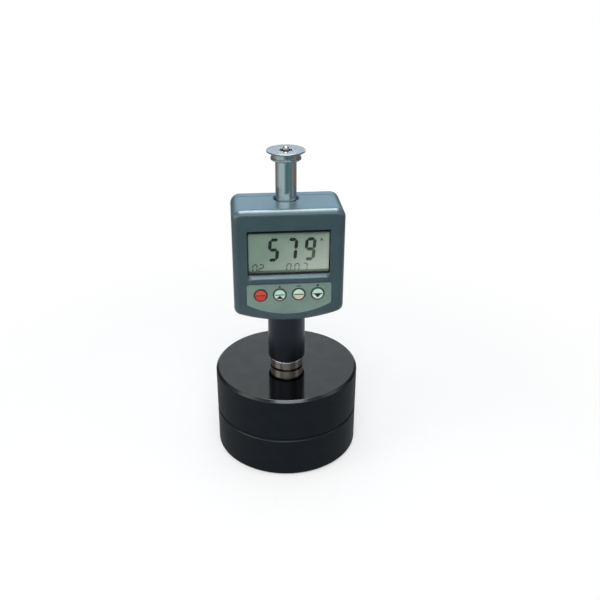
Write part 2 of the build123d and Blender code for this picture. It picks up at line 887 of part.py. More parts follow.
# Key switches on the board, with room for the keys' travel
switch_front = key_flange_back + key_stem_l + key_travel + slide_fit
with BuildPart() as key_switches:
    with BuildSketch(facing(board_y)):
        with Locations(*key_points):
            Rectangle(switch_side, switch_side)
    extrude(amount=board_y - switch_front - switch_plunger_h)
    with BuildSketch(facing(switch_front + switch_plunger_h)):
        with Locations(*key_points):
            Circle(switch_plunger_d / 2)
    extrude(amount=switch_plunger_h)
key_switches.part.label = "key_switches"
export_step(key_switches.part, "parts/key_switches.step")

# Circuit board: narrow between the screw bosses, wide beside the batteries, a chip on its back
with BuildPart() as circuit_board:
    board_side = half_w - wall - board_edge
    board_waist = boss_x - boss_r - board_edge
    board_low = housing_z + bottom_arc_r - sqrt((bottom_arc_r - wall) ** 2 - board_waist**2) + board_edge
    board_high = ceiling_z - board_edge
    with BuildSketch(facing(board_y)):
        with Locations((0, (board_low + board_high) / 2)):
            Rectangle(2 * board_waist, board_high - board_low)
        with Locations((0, tray_z + tray_h / 2)):
            Rectangle(2 * board_side, tray_h)
    extrude(amount=-board_t)
    with BuildSketch(facing(board_back_y)):
        with Locations((0, key_z)):
            Rectangle(chip_side, chip_side)
    extrude(amount=-chip_t)
circuit_board.part.label = "circuit_board"
export_step(circuit_board.part, "parts/circuit_board.step")

# Battery trays: an open trough for two cells on each side of the guide sleeve
with BuildPart() as battery_trays:
    with BuildSketch(facing(board_back_y)):
        with Locations((-tray_x, tray_z + tray_h / 2), (tray_x, tray_z + tray_h / 2)):
            Rectangle(tray_w, tray_h)
    extrude(amount=board_back_y - tray_back_y)
    with BuildSketch(facing(tray_inner_y)):
        with Locations((-tray_x, tray_z + tray_h / 2), (tray_x, tray_z + tray_h / 2)):
            Rectangle(tray_inner_w, tray_h - 2 * tray_wall)
    extrude(amount=tray_inner_y - tray_back_y, mode=Mode.SUBTRACT)
battery_trays.part.label = "battery_trays"
export_step(battery_trays.part, "parts/battery_trays.step")

# Batteries: two cells in each trough, one behind the other, head to foot
cell_y = tray_inner_y + cell_side_gap + cell_d / 2
cell_ys = (cell_y, cell_y + cell_d + cell_gap)
cell_can = cell_l - cell_nub_h
with BuildPart() as batteries:
    for front, y in enumerate(cell_ys):
        can_z = cell_z + front * cell_nub_h
        nub_z = cell_z if front else cell_z + cell_can
        with BuildSketch(Plane(origin=(0, y, can_z))):
            with Locations((-tray_x, 0), (tray_x, 0)):
                Circle(cell_d / 2)
        extrude(amount=cell_can)
        with BuildSketch(Plane(origin=(0, y, nub_z))):
            with Locations((-tray_x, 0), (tray_x, 0)):
                Circle(cell_nub_d / 2)
        extrude(amount=cell_nub_h)
batteries.part.label = "batteries"
export_step(batteries.part, "parts/batteries.step")

# Battery contacts: a plate with two pips at each end of each trough
contact_w = tray_inner_w - 2 * contact_margin
contact_deep = 2 * cell_d - 2 * contact_margin
contact_mid = (cell_ys[0] + cell_ys[1]) / 2
contact_floor = tray_z + tray_wall
contact_roof = tray_top - tray_wall
with BuildPart() as battery_contacts:
    for z, up in ((contact_floor, 1), (contact_roof, -1)):
        with BuildSketch(Plane(origin=(0, contact_mid, z))):
            with Locations((-tray_x, 0), (tray_x, 0)):
                Rectangle(contact_w, contact_deep)
        extrude(amount=up * contact_t)
        for y in cell_ys:
            with BuildSketch(Plane(origin=(0, y, z))):
                with Locations((-tray_x, 0), (tray_x, 0)):
                    Circle(contact_bump_d / 2)
            extrude(amount=up * contact_gap)
battery_contacts.part.label = "battery_contacts"
export_step(battery_contacts.part, "parts/battery_contacts.step")

# Battery door: plate flush with the back, with finger ribs near its top
with BuildPart() as battery_door:
    with BuildSketch(facing(back_y)):
        with Locations(door_mid):
            RectangleRounded(door_w, door_h, door_r)
    extrude(amount=door_t)
    fillet(battery_door.faces().sort_by(Axis.Y)[-1].edges(), door_edge)
    grip_z = door_low + door_h - door_grip_drop
    with BuildSketch(facing(back_y)):
        with Locations(*[(0, grip_z - i * door_grip_pitch) for i in range(door_grips)]):
            SlotOverall(door_grip_w, door_grip_h)
    extrude(amount=-door_grip_proud)
battery_door.part.label = "battery_door"
export_step(battery_door.part, "parts/battery_door.step")
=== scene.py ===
# %% [markdown]
# # A rebound hardness tester, dressed for the camera
#
# The packed model already holds every piece at its real size. This lesson keeps those pieces
# where they are and gives them what a drawing lacks: broken edges on the turned steel, the
# liquid crystal's digits, printed marks on the keys, and a finish for each surface.
# The frame comes first, because everything after it is measured from it. Blender works in metres,
# and a small instrument is easier to read in millimetres, so two helpers give boxes in those.

# %% Load the packed frame
import json
from math import cos, pi, radians, sin

import bmesh
import bpy
import numpy as np
from mathutils import Matrix, Vector


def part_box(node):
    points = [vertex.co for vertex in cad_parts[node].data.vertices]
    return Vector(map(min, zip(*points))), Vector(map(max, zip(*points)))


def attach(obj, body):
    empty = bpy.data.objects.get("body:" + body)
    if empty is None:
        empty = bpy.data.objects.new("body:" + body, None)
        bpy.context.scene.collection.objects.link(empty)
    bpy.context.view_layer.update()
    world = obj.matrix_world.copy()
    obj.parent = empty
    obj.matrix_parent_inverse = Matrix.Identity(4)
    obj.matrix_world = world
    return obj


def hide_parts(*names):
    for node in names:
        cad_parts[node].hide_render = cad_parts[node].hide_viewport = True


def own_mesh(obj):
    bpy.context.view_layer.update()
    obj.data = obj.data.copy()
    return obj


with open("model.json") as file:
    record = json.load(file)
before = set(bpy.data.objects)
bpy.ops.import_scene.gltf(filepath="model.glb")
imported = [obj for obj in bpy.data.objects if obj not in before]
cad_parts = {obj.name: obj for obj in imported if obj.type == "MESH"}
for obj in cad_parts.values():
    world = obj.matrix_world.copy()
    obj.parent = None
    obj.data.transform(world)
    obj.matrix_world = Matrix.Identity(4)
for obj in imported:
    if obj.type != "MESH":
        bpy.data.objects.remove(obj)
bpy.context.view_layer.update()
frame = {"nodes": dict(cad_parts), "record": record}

MM = 0.001
nodes = frame["nodes"]


def corners(node):
    """A node's lowest and highest corner, in millimetres."""
    low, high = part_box(node)
    return low / MM, high / MM


def middle(node):
    """The middle of a node's box, in millimetres."""
    low, high = corners(node)
    return (low + high) / 2


axis_y = middle("loading_tube").y

# %% [markdown]
# ## The camera
#
# The photograph was taken from in front, a little to the left and well above. The place, the
# direction and the lens below come from fitting the block's rims, the housing's corners and the
# keys to their pixels, so the render can be laid over the photograph. A camera's own axes are
# right, up and backwards, and those three are the columns of its turn.

# %% Camera
eye = Vector((-32.899, -417.068, 310.249)) * MM
ahead = Vector((0.08827, 0.88893, -0.44945)).normalized()
right = ahead.cross(Vector((0.03885, 0.4478, 0.89329))).normalized()
above = right.cross(ahead)
turn = Matrix((right, above, -ahead)).transposed().to_4x4()
camera = bpy.data.objects.new("camera", bpy.data.cameras.new("camera"))
camera.data.lens = 45.4683
camera.data.sensor_width = 36.0
camera.data.clip_start = 0.01
camera.data.clip_end = 50.0
camera.matrix_world = Matrix.Translation(eye) @ turn
bpy.context.scene.collection.objects.link(camera)
bpy.context.scene.camera = camera
bpy.context.scene.view_settings.view_transform = "Standard"
print("camera looks down by", round(np.degrees(np.arcsin(-ahead.z)), 1), "degrees")

# %% [markdown]
# ## Shader sums as plain Python
#
# A finish is a small sum over the surface: this much of one colour here, a rougher patch there.
# Written with nodes alone, such sums are hard to read. The class below wraps a socket, so that
# `1 - mask` or `0.3 + 0.1 * grain` adds the Math nodes by itself. Every other node comes from its
# one method `node`, which sets the node's settings first and then its sockets.


# %% A socket that can be added and multiplied
class Signal:
    """An output socket of a node tree. Arithmetic on it adds Math nodes."""

    def __init__(self, tree, socket):
        self.tree = tree
        self.socket = socket

    @staticmethod
    def node(tree, kind, settings=None, sockets=None, out=0):
        """Add a node, set it up, fill its sockets with values or links, and give one output."""
        made = tree.nodes.new(kind)
        for name, value in (settings or {}).items():
            setattr(made, name, value)
        for key, value in (sockets or {}).items():
            if isinstance(value, Signal):
                tree.links.new(value.socket, made.inputs[key])
            else:
                made.inputs[key].default_value = value
        return Signal(tree, made.outputs[out])

    def also(self, out):
        """Another output of the same node."""
        return Signal(self.tree, self.socket.node.outputs[out])

    def sum(self, operation, *values):
        """One Math node."""
        return Signal.node(self.tree, "ShaderNodeMath", {"operation": operation}, dict(enumerate(values)))

    def __add__(self, other):
        return self.sum("ADD", self, other)

    def __sub__(self, other):
        return self.sum("SUBTRACT", self, other)

    def __rsub__(self, other):
        return self.sum("SUBTRACT", other, self)

    def __mul__(self, other):
        return self.sum("MULTIPLY", self, other)

    def __abs__(self):
        return self.sum("ABSOLUTE", self)

    def __pow__(self, other):
        return self.sum("POWER", self, other)

    __radd__ = __add__
    __rmul__ = __mul__

    def most(self, other):
        """The larger of two signals."""
        return self.sum("MAXIMUM", self, other)

    def rise(self, low, high):
        """0 below low, 1 above high, smooth between. It falls where low is the larger."""
        sockets = {"Value": self, "From Min": low, "From Max": high}
        return Signal.node(self.tree, "ShaderNodeMapRange", {"interpolation_type": "SMOOTHSTEP"}, sockets)

    def mix(self, first, second):
        """A colour: first where this is 0, second where it is 1."""
        sockets = {0: self, 6: first, 7: second}
        return Signal.node(self.tree, "ShaderNodeMix", {"data_type": "RGBA"}, sockets, out=2)


print("operators:", sorted(name for name in vars(Signal) if name.startswith("__r")))

# %% [markdown]
# ## What all finishes share
#
# Colours are written as they look on a screen, from 0 to 255, and turned into the linear values
# that light uses. Patterns read the Object coordinates, here in millimetres, so that a grain of a
# third of a millimetre has a scale of about three, whatever piece it is on.


# %% Helpers for colours and materials
def paint(red, green, blue):
    """A screen colour as linear light: c/12.92 below 0.04, else ((c + 0.055)/1.055) to the 2.4."""
    c = np.array((red, green, blue)) / 255
    linear = np.where(c <= 0.04045, c / 12.92, ((c + 0.055) / 1.055) ** 2.4)
    return (*linear.tolist(), 1.0)


def new_finish(name, **sockets):
    """A Principled material with its constants on its own sockets. Gives it, its tree and shader."""
    material = bpy.data.materials.new(name)
    material.use_nodes = True
    shader = material.node_tree.nodes["Principled BSDF"]
    for key, value in sockets.items():
        shader.inputs[key.replace("_", " ")].default_value = value
    return material, material.node_tree, shader


def feed(shader, **signals):
    """Link signals to a shader's sockets."""
    for key, signal in signals.items():
        signal.tree.links.new(signal.socket, shader.inputs[key.replace("_", " ")])


def dress(material, *names):
    """Give a finish to nodes of the frame."""
    for name in names:
        nodes[name].data.materials[0] = material


print("middle grey is", round(paint(128, 128, 128)[0], 3), "in linear light")

# %% [markdown]
# ## Patterns
#
# Real surfaces are never even: plastic has a grain, steel keeps the lines of the tool. A picture
# could be wrapped round each piece, but it would stretch and have a last pixel. Noise worked out
# at each point has neither fault, so all patterns here are sums of noise and of distances.


# %% Helpers for patterns
def place(tree):
    """The point on the piece in millimetres, as a vector and as x, y and z."""
    spot = Signal.node(tree, "ShaderNodeTexCoord", out="Object")
    sockets = {0: spot, "Scale": 1 / MM}
    point = Signal.node(tree, "ShaderNodeVectorMath", {"operation": "SCALE"}, sockets)
    x = Signal.node(tree, "ShaderNodeSeparateXYZ", None, {0: point})
    return point, x, x.also(1), x.also(2)


def noise(point, scale, detail=2.0, stretch=(1.0, 1.0, 1.0)):
    """Cloudy noise from 0 to 1 with about scale lumps a millimetre, stretched along the axes."""
    tree = point.tree
    spot = Signal.node(tree, "ShaderNodeVectorMath", {"operation": "MULTIPLY"}, {0: point, 1: stretch})
    return Signal.node(tree, "ShaderNodeTexNoise", None, {"Vector": spot, "Scale": scale, "Detail": detail})


def lines_along(value, scale, detail):
    """Noise that changes along one value only, as the rings of a lathe tool do."""
    sockets = {"W": value, "Scale": scale, "Detail": detail}
    return Signal.node(value.tree, "ShaderNodeTexNoise", {"noise_dimensions": "1D"}, sockets)


def bump(height, strength, depth_mm):
    """A normal from a height signal that stands for depth_mm of relief."""
    sockets = {"Height": height, "Strength": strength, "Distance": depth_mm * MM}
    return Signal.node(height.tree, "ShaderNodeBump", None, sockets)


def distance(x, y, centre_x=0.0, centre_y=0.0):
    """How far a point is from a line, seen along it: the root of the two squares."""
    dx = x - centre_x
    dy = y - centre_y
    return (dx * dx + dy * dy) ** 0.5


print("one unit of a pattern is", MM, "m")

# %% [markdown]
# ## The moulded housing
#
# The two shells are one slate-coloured plastic with a fine spark-eroded grain from the mould.
# Its gloss is soft: the top edge catches the lamp in one long bright line. Use polishes the rim
# first, so the roughness falls a little towards the outline. The grain could be modelled, but a
# bump of a few hundredths of a millimetre does the same with no faces, and a slow mottle keeps
# the colour from being flat. The rim of the tube's hole is painted pale, most of all in front:
# painted light that lifts the shade in the gap round the tube.

# %% Housing finish
HOLE_R = 8.1
HOLE_LIGHT_IN = 0.3
HOLE_LIGHT_FRONT = (2.0, -6.0)
RIM_WEAR = (-4.0, -0.5)
half_w = corners("front_shell")[1].x
slate, tree, shader = new_finish("moulded_slate", Specular_IOR_Level=0.45)
point, x, y, z = place(tree)
grain = noise(point, scale=2.6, detail=3.0)
mottle = noise(point, scale=0.07)
rim = (abs(x) - half_w).rise(*RIM_WEAR)
colour = mottle.rise(0.3, 0.7).mix(paint(45, 65, 70), paint(50, 70, 76))
colour = grain.rise(0.62, 0.8).mix(colour, paint(60, 82, 89))
# Painted light: the rim of the tube's hole is painted pale, most of all in front, to lift the shade in the
# gap round the tube.
painted_light_at_hole = distance(x, y, 0.0, axis_y).rise(HOLE_R, HOLE_R - HOLE_LIGHT_IN) * (y - axis_y).rise(*HOLE_LIGHT_FRONT)
colour = painted_light_at_hole.mix(colour, paint(165, 180, 186))
feed(
    shader,
    Base_Color=colour,
    Roughness=0.27 + 0.1 * grain - 0.04 * rim,
    Normal=bump(grain, strength=0.14, depth_mm=0.05),
)
dress(slate, "front_shell", "rear_shell", "battery_door")
print("housing is", round(2 * half_w, 1), "mm wide")

# %% [markdown]
# ## The blackened block
#
# The reference block is steel, turned and blackened all over. Its top is ground flat and lapped
# until it mirrors the foot, and its chamfer and the lip of its groove are bare. One material can
# hold all of that: masks on the height pick the top, the chamfer and the lip, and they steer the
# colour, the metal and the roughness together.

# %% Block finish
block_low, block_high = corners("test_block")
CHAMFER = 1.5
TOP_SKIN = (-0.04, -0.01)
EDGE_SKIN = (-CHAMFER - 0.25, -CHAMFER + 0.1)
LIP_Z = 25.4
LIP_SKIN = (0.35, 0.15)
blackened, tree, shader = new_finish("blackened_steel", Specular_IOR_Level=0.05)
point, x, y, z = place(tree)
below_top = z - block_high.z
on_top = below_top.rise(*TOP_SKIN)
on_edge = below_top.rise(*EDGE_SKIN) - on_top
on_lip = abs(z - LIP_Z).rise(*LIP_SKIN)
tool = noise(point, scale=1.0, detail=3.0, stretch=(0.02, 0.02, 5.0))
cloud = noise(point, scale=0.12, detail=3.0)
lap = lines_along(distance(x, y), scale=6.0, detail=3.0)
side = cloud.mix(paint(17, 22, 26), paint(24, 29, 34))
ground = cloud.rise(0.3, 0.75).mix(paint(84, 77, 72), paint(89, 82, 76))
bare = on_edge + on_lip
feed(
    shader,
    Base_Color=bare.mix(on_top.mix(side, ground), paint(48, 46, 46)),
    Metallic=on_top + bare,
    Roughness=0.42 + 0.12 * cloud - on_top * (0.41 - 0.04 * lap) - bare * 0.28,
    Normal=bump(tool * (1 - on_top - on_edge), strength=0.2, depth_mm=0.03),
)
print("block is", round(2 * block_high.x, 1), "mm across and", round(block_high.z, 1), "mm high")

# %% [markdown]
# ## Bright metal that came off a lathe
#
# The tube is chromed, the cap polished, the button dull and darkened by painted shade that dims
# the lamps' glints on it, the ring plain turned steel and the grip above it black anodised. They
# differ in tone and gloss alone, so they share one recipe. Tool rings are noise along the sum of
# the height and the radius, so they run round a side and round a flat face alike. A slow smear
# changes the roughness, as use does. Bands tone the single steps of a piece: on the cap each step
# faces another way, and its band paints light and shade into the steel, darker tones that dim the
# glints on the disc, its rim and edge, the neck, the ledge and the collar, and a paler tone that
# lifts the shade in the recess.


# %% Turned finishes
FADE = 0.1


def lathe_finish(name, pale, dark, rough, relief, line_scale=3.0, bands=()):
    """Metal with tool rings: lines along the height on sides and along the radius on faces.

    Each band is a height with half a width, the radii it lies between, and the colour and the
    extra roughness it has there.
    """
    material, tree, shader = new_finish(name, Metallic=1.0)
    point, x, y, z = place(tree)
    radius = distance(x, y, 0.0, axis_y)
    lines = lines_along(z + radius, line_scale, detail=4.0)
    smear = noise(point, scale=0.35, stretch=(1.0, 1.0, 0.3))
    colour = lines.rise(0.25, 0.75).mix(dark, pale)
    roughness = rough - 0.03 + 0.06 * smear
    for height, half, inner, outer, tone, rougher in bands:
        band = abs(z - height).rise(half + FADE, half - FADE)
        band = band * radius.rise(inner - FADE, inner + FADE) * radius.rise(outer + FADE, outer - FADE)
        # On the cap these band tones are painted light and shade.
        colour = band.mix(colour, tone)
        roughness = roughness + rougher * band
    feed(shader, Base_Color=colour, Roughness=roughness, Normal=bump(lines, relief, depth_mm=0.02))
    return material


print("a band fades over", 2 * FADE, "mm")

# %% [markdown]
# ## Tones of the turned pieces
#
# Each piece has a pale and a dark tone, between which the tool rings swing, and a roughness. The
# cap's bands are measured from its top: the disc, the neck under it and the collar below that.

# %% Tones of the turned pieces
cap_low, cap_high = corners("loading_cap")
cap_top = cap_high.z
cap_r = cap_high.x
CAP_H = 5.65
CAP_DISC_H = 1.0
CAP_NECK_H = 2.9
CAP_NECK_R = 8.35
CAP_RECESS_R = 3.75
PAST_RIM = 0.2
disc_low = cap_top - CAP_DISC_H
neck_low = disc_low - CAP_NECK_H
# A band is a height, half its width, its inner and outer radius, its tone and its extra roughness.
# The tones are painted shade that dims the glints on each step, save the recess's, which is painted light.
flat_of_disc = (cap_top, 0.2, CAP_RECESS_R, cap_r, paint(171, 161, 158), 0.0)
rim_of_disc = (cap_top - CAP_DISC_H / 2, 0.35, CAP_NECK_R, cap_r + PAST_RIM, paint(94, 93, 93), 0.3)
neck = (disc_low - CAP_NECK_H / 2, CAP_NECK_H / 2, CAP_RECESS_R, cap_r, paint(170, 175, 175), 0.0)
ledge = (neck_low - 0.25, 0.4, CAP_RECESS_R, cap_r, paint(82, 90, 92), 0.3)
collar = (neck_low - 1.2, 0.6, CAP_RECESS_R, cap_r, paint(150, 156, 157), 0.0)
edge_of_disc = (cap_top - 0.2, 0.25, cap_r - 0.3, cap_r + PAST_RIM, paint(120, 116, 114), 0.15)
recess = (cap_top - CAP_H / 2, CAP_H / 2 - 0.1, 0.0, CAP_RECESS_R, paint(205, 207, 212), 0.45)
painted_cap_bands = [flat_of_disc, rim_of_disc, neck, ledge, collar, edge_of_disc, recess]
tube_tones = paint(180, 190, 193), paint(172, 182, 185)
cap_tones = paint(197, 200, 200), paint(188, 191, 191)
button_tones = paint(120, 113, 109), paint(110, 103, 99)
ring_tones = paint(182, 176, 170), paint(164, 158, 152)
grip_tones = paint(52, 55, 62), paint(44, 47, 53)
chrome = lathe_finish("chromed_tube", *tube_tones, rough=0.12, relief=0.006)
polished = lathe_finish("polished_cap", *cap_tones, rough=0.075, relief=0.003, bands=painted_cap_bands)
# The button's dark tones are painted shade that dims the lamps' glints on it; its roughness makes it dull.
painted_shade_button = lathe_finish("button_painted_shade", *button_tones, rough=0.34, relief=0.01)
turned = lathe_finish("turned_steel", *ring_tones, rough=0.2, relief=0.05, line_scale=4.0)
anodised = lathe_finish("black_anodised", *grip_tones, rough=0.34, relief=0.05)
print("turned finishes:", [m.name for m in (chrome, polished, painted_shade_button, turned, anodised)])

# %% [markdown]
# ## Turned pieces with broken edges
#
# A lathe carries one outline round an axis, and so does this function: the surface is
# (r(u) cos v, r(u) sin v, z(u)). No machined edge is truly sharp. Each corner of an outline is
# swapped for a small curve, the quadratic between its two neighbours with the corner as its
# control point, and those curves are the thin bright lines that the eye reads as metal.
# The outlines are those of the solids, so each piece stays exactly where its node is.


# %% Outline with eased corners
STEPS = 5
MOST_OF_SIDE = 0.4
HOLD = 1.2


def eased(outline, ease, closed=True):
    """Replace each corner P by (1-s)^2 A + 2s(1-s) P + s^2 B, with A and B at most ease from P.

    A point a little further out on each side holds the flats flat under smooth shading.
    """
    p = np.array(outline, float)
    back = np.roll(p, 1, axis=0) - p
    on = np.roll(p, -1, axis=0) - p
    back_l = np.linalg.norm(back, axis=1, keepdims=True)
    on_l = np.linalg.norm(on, axis=1, keepdims=True)
    reach = np.minimum(ease, MOST_OF_SIDE * np.minimum(back_l, on_l))
    if not closed:
        reach[[0, -1]] = 0.0
    back = (back / back_l * reach)[:, None]
    on = (on / on_l * reach)[:, None]
    p = p[:, None]
    s = np.linspace(0, 1, STEPS)[None, :, None]
    curve = (1 - s) ** 2 * (p + back) + 2 * s * (1 - s) * p + s**2 * (p + on)
    held = np.concatenate([p + HOLD * back, curve, p + HOLD * on], axis=1)
    return held.reshape(-1, 2)


print("a square with eased corners has", len(eased([(0, 0), (1, 0), (1, 1), (0, 1)], 0.1)), "points")

# %% [markdown]
# ## From a grid to a mesh
#
# A surface worked out on a grid is a table of points, and its faces join the neighbours in that
# table. A row that shrinks to one point is a pole: its doubles are merged, so the piece is closed.
# Blender's Screw modifier could turn an outline too, but here every point stays a plain number.


# %% From a grid to a mesh
SHARP = radians(35)


def grid_faces(rows, columns, wrap_rows):
    """Quads between neighbours of a grid whose columns close on themselves."""
    index = np.arange(rows * columns).reshape(rows, columns)
    here = index if wrap_rows else index[:-1]
    there = np.roll(index, -1, axis=0) if wrap_rows else index[1:]
    quads = np.stack([here, np.roll(here, -1, axis=1), np.roll(there, -1, axis=1), there], axis=-1)
    return quads.reshape(-1, 4).tolist()


def put(name, points_mm, faces, body, material):
    """Make a mesh of points and faces, close its poles, point it outwards and let it ride."""
    mesh = bpy.data.meshes.new(name)
    points = np.asarray(points_mm) * MM
    mesh.from_pydata(points.tolist(), [], faces)
    work = bmesh.new()
    work.from_mesh(mesh)
    bmesh.ops.remove_doubles(work, verts=work.verts, dist=1e-7)
    bmesh.ops.recalc_face_normals(work, faces=work.faces)
    work.to_mesh(mesh)
    work.free()
    mesh.shade_smooth()
    mesh.set_sharp_from_angle(angle=SHARP)
    mesh.materials.append(material)
    piece = bpy.data.objects.new(name, mesh)
    bpy.context.scene.collection.objects.link(piece)
    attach(piece, body)
    return piece


print("a ring of 3 rows and 8 columns has", len(grid_faces(3, 8, False)), "faces")

# %% [markdown]
# ## The lathe
#
# With an outline and a mesh at hand, turning a piece takes two steps: carry the outline round,
# and let the result stand for its node, which then stays in the model for touch alone.


# %% Lathe
AROUND = 160


def lathe(outline, centre_y, around):
    """Carry an outline of (r, z) round a vertical line: (r cos v, centre_y + r sin v, z)."""
    r, z = np.array(outline).T
    v = np.linspace(0, 2 * pi, around, endpoint=False)
    x = np.outer(r, np.cos(v))
    y = centre_y + np.outer(r, np.sin(v))
    points = np.stack([x, y, np.outer(z, np.ones(around))], axis=-1)
    return points.reshape(-1, 3), len(r)


def turned_piece(node, body, material, outline, ease, centre_y=axis_y, solid=False, around=AROUND):
    """A lathe piece that stands for a node. A solid outline starts and ends on the axis."""
    curve = eased(outline, ease, closed=not solid)
    points, rows = lathe(curve, centre_y, around)
    piece = put(node + "_turned", points, grid_faces(rows, around, not solid), body, material)
    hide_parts(node)
    print(piece.name, "has", len(piece.data.polygons), "faces")


print("a piece is turned in", AROUND, "steps")

# %% [markdown]
# ## The block
#
# A disc of steel with a chamfer at the top and the bottom and a V-shaped groove round its side.
# Its outline runs from the axis underneath to the axis on top, so the piece is closed by itself.

# %% Block
block_r = -block_low.x
block_top = block_high.z
GROOVE_Z = 26.5
GROOVE_HALF = 1.2
GROOVE_DEEP = 1.2
block_outline = [
    (0.0, 0.0),
    (block_r - CHAMFER, 0.0),
    (block_r, CHAMFER),
    (block_r, GROOVE_Z - GROOVE_HALF),
    (block_r - GROOVE_DEEP, GROOVE_Z),
    (block_r, GROOVE_Z + GROOVE_HALF),
    (block_r, block_top - CHAMFER),
    (block_r - CHAMFER, block_top),
    (0.0, block_top),
]
turned_piece(
    "test_block",
    "block",
    blackened,
    block_outline,
    ease=0.25,
    centre_y=0.0,
    solid=True,
    around=256,
)

# %% [markdown]
# ## The foot
#
# A short steel ring stands on the work, and a dark grip reaches from it up to the housing. The
# steel sleeve that joins them is inside the grip and keeps its own solid. Outer corners come from
# the boxes of the nodes, and the inner steps are named here, because a box can't show them.

# %% Ring
SLIP = 0.05
BREAK = 0.3
FOOT_EDGE = 0.8
SLEEVE_WALL = 2.0
RING_NECK = 0.5
RING_NECK_IN = 1.0
RING_BORE = 3.3
RING_FLOOR = 2.0
RING_WELL = 4.05
ring_low, ring_high = corners("support_ring")
sleeve_low, sleeve_high = corners("foot_sleeve")
sleeve_r = sleeve_high.x
ring_r = ring_high.x
neck_r = ring_r - RING_NECK_IN
spigot_r = sleeve_r - SLEEVE_WALL - SLIP
ring_top = sleeve_low.z - RING_NECK
ring_floor = ring_low.z + RING_FLOOR
ring_outline = [
    (RING_BORE, ring_low.z),
    (ring_r - FOOT_EDGE, ring_low.z),
    (ring_r, ring_low.z + FOOT_EDGE),
    (ring_r, ring_top - BREAK),
    (ring_r - BREAK, ring_top),
    (neck_r, ring_top),
    (neck_r, sleeve_low.z),
    (spigot_r, sleeve_low.z),
    (spigot_r, ring_high.z),
    (RING_WELL, ring_high.z),
    (RING_WELL, ring_floor),
    (RING_BORE, ring_floor),
]
turned_piece("support_ring", "tester", turned, ring_outline, ease=0.2)
dress(turned, "foot_sleeve")

# %% [markdown]
# ## The grip
#
# The dark grip is a tube with a narrow spigot on top, which goes through the housing's floor and
# takes the nut. Its outer edges are broken at both ends, so that a thin line of light shows there.

# %% Grip
GRIP_SPIGOT = 7.8
GRIP_BORE = 4.75
grip_low, grip_high = corners("lock_collar")
grip_r = grip_high.x
grip_in = sleeve_r + SLIP
grip_top = corners("front_shell")[0].z
grip_outline = [
    (grip_in, grip_low.z),
    (grip_r - FOOT_EDGE, grip_low.z),
    (grip_r, grip_low.z + FOOT_EDGE),
    (grip_r, grip_top - BREAK),
    (grip_r - BREAK, grip_top),
    (GRIP_SPIGOT, grip_top),
    (GRIP_SPIGOT, grip_high.z),
    (GRIP_BORE, grip_high.z),
    (GRIP_BORE, sleeve_high.z),
    (grip_in, sleeve_high.z),
]
turned_piece("lock_collar", "tester", anodised, grip_outline, ease=0.2)

# %% [markdown]
# ## The loading tube
#
# The tube slides in the housing, and a wider stop at its foot keeps it from coming out. It is
# plain round stock with a bore, so its outline has six corners.

# %% Tube
TUBE_R = 6.1
TUBE_BORE = 4.8
TUBE_STOP_H = 2.4
tube_low, tube_high = corners("loading_tube")
stop_top = tube_low.z + TUBE_STOP_H
tube_outline = [
    (TUBE_BORE, tube_low.z),
    (tube_high.x, tube_low.z),
    (tube_high.x, stop_top),
    (TUBE_R, stop_top),
    (TUBE_R, tube_high.z),
    (TUBE_BORE, tube_high.z),
]
turned_piece("loading_tube", "loader", chrome, tube_outline, ease=0.2)

# %% [markdown]
# ## The cap
#
# The cap closes the tube and is what one pulls and pushes: a thin disc, a neck and a collar. Its
# spigot goes into the tube, and a recess in its top holds the button. All of that is one outline.

# %% Cap
CAP_COLLAR_R = 8.8
CAP_COLLAR_EDGE = 0.5
CAP_SPIGOT_R = 4.75
CAP_SOCKET_R = 3.55
CAP_SOCKET = 3.5
CAP_WEB = 1.5
CAP_BORE = 1.6
cap_foot = cap_top - CAP_H
web_low = cap_low.z + CAP_SOCKET
cap_outline = [
    (CAP_BORE, web_low),
    (CAP_SOCKET_R, web_low),
    (CAP_SOCKET_R, cap_low.z),
    (CAP_SPIGOT_R, cap_low.z),
    (CAP_SPIGOT_R, tube_high.z),
    (TUBE_R + SLIP, tube_high.z),
    (TUBE_R + SLIP, cap_foot),
    (CAP_COLLAR_R - CAP_COLLAR_EDGE, cap_foot),
    (CAP_COLLAR_R, cap_foot + CAP_COLLAR_EDGE),
    (CAP_COLLAR_R, neck_low - CAP_COLLAR_EDGE),
    (CAP_NECK_R, neck_low),
    (CAP_NECK_R, disc_low),
    (cap_r, disc_low),
    (cap_r, cap_top),
    (CAP_RECESS_R, cap_top),
    (CAP_RECESS_R, web_low + CAP_WEB),
    (CAP_BORE, web_low + CAP_WEB),
]
turned_piece("loading_cap", "loader", polished, cap_outline, ease=0.3)

# %% [markdown]
# ## The button
#
# The small button in the middle of the cap frees the impact body. A dome closes it: its outline
# ends in a quarter of a circle that meets the axis, which needs no separate ball.

# %% Button
BUTTON_R = 1.95
BUTTON_FLANGE_H = 1.2
BUTTON_SOCKET = 2.8
BUTTON_SOCKET_R = 1.55
DOME_STEPS = 12
button_low, button_high = corners("release_button")
dome_z = button_high.z - BUTTON_R
dome_turn = np.linspace(0, pi / 2, DOME_STEPS)[1:]
dome = np.stack([BUTTON_R * np.cos(dome_turn), dome_z + BUTTON_R * np.sin(dome_turn)], axis=-1)
socket_top = button_low.z + BUTTON_SOCKET
flange_top = button_low.z + BUTTON_FLANGE_H
button_outline = [
    (0.0, socket_top),
    (BUTTON_SOCKET_R, socket_top),
    (BUTTON_SOCKET_R, button_low.z),
    (button_high.x, button_low.z),
    (button_high.x, flange_top),
    (BUTTON_R, flange_top),
    (BUTTON_R, dome_z),
    *dome.tolist(),
]
turned_piece(
    "release_button",
    "release",
    painted_shade_button,
    button_outline,
    ease=0.15,
    solid=True,
    around=96,
)
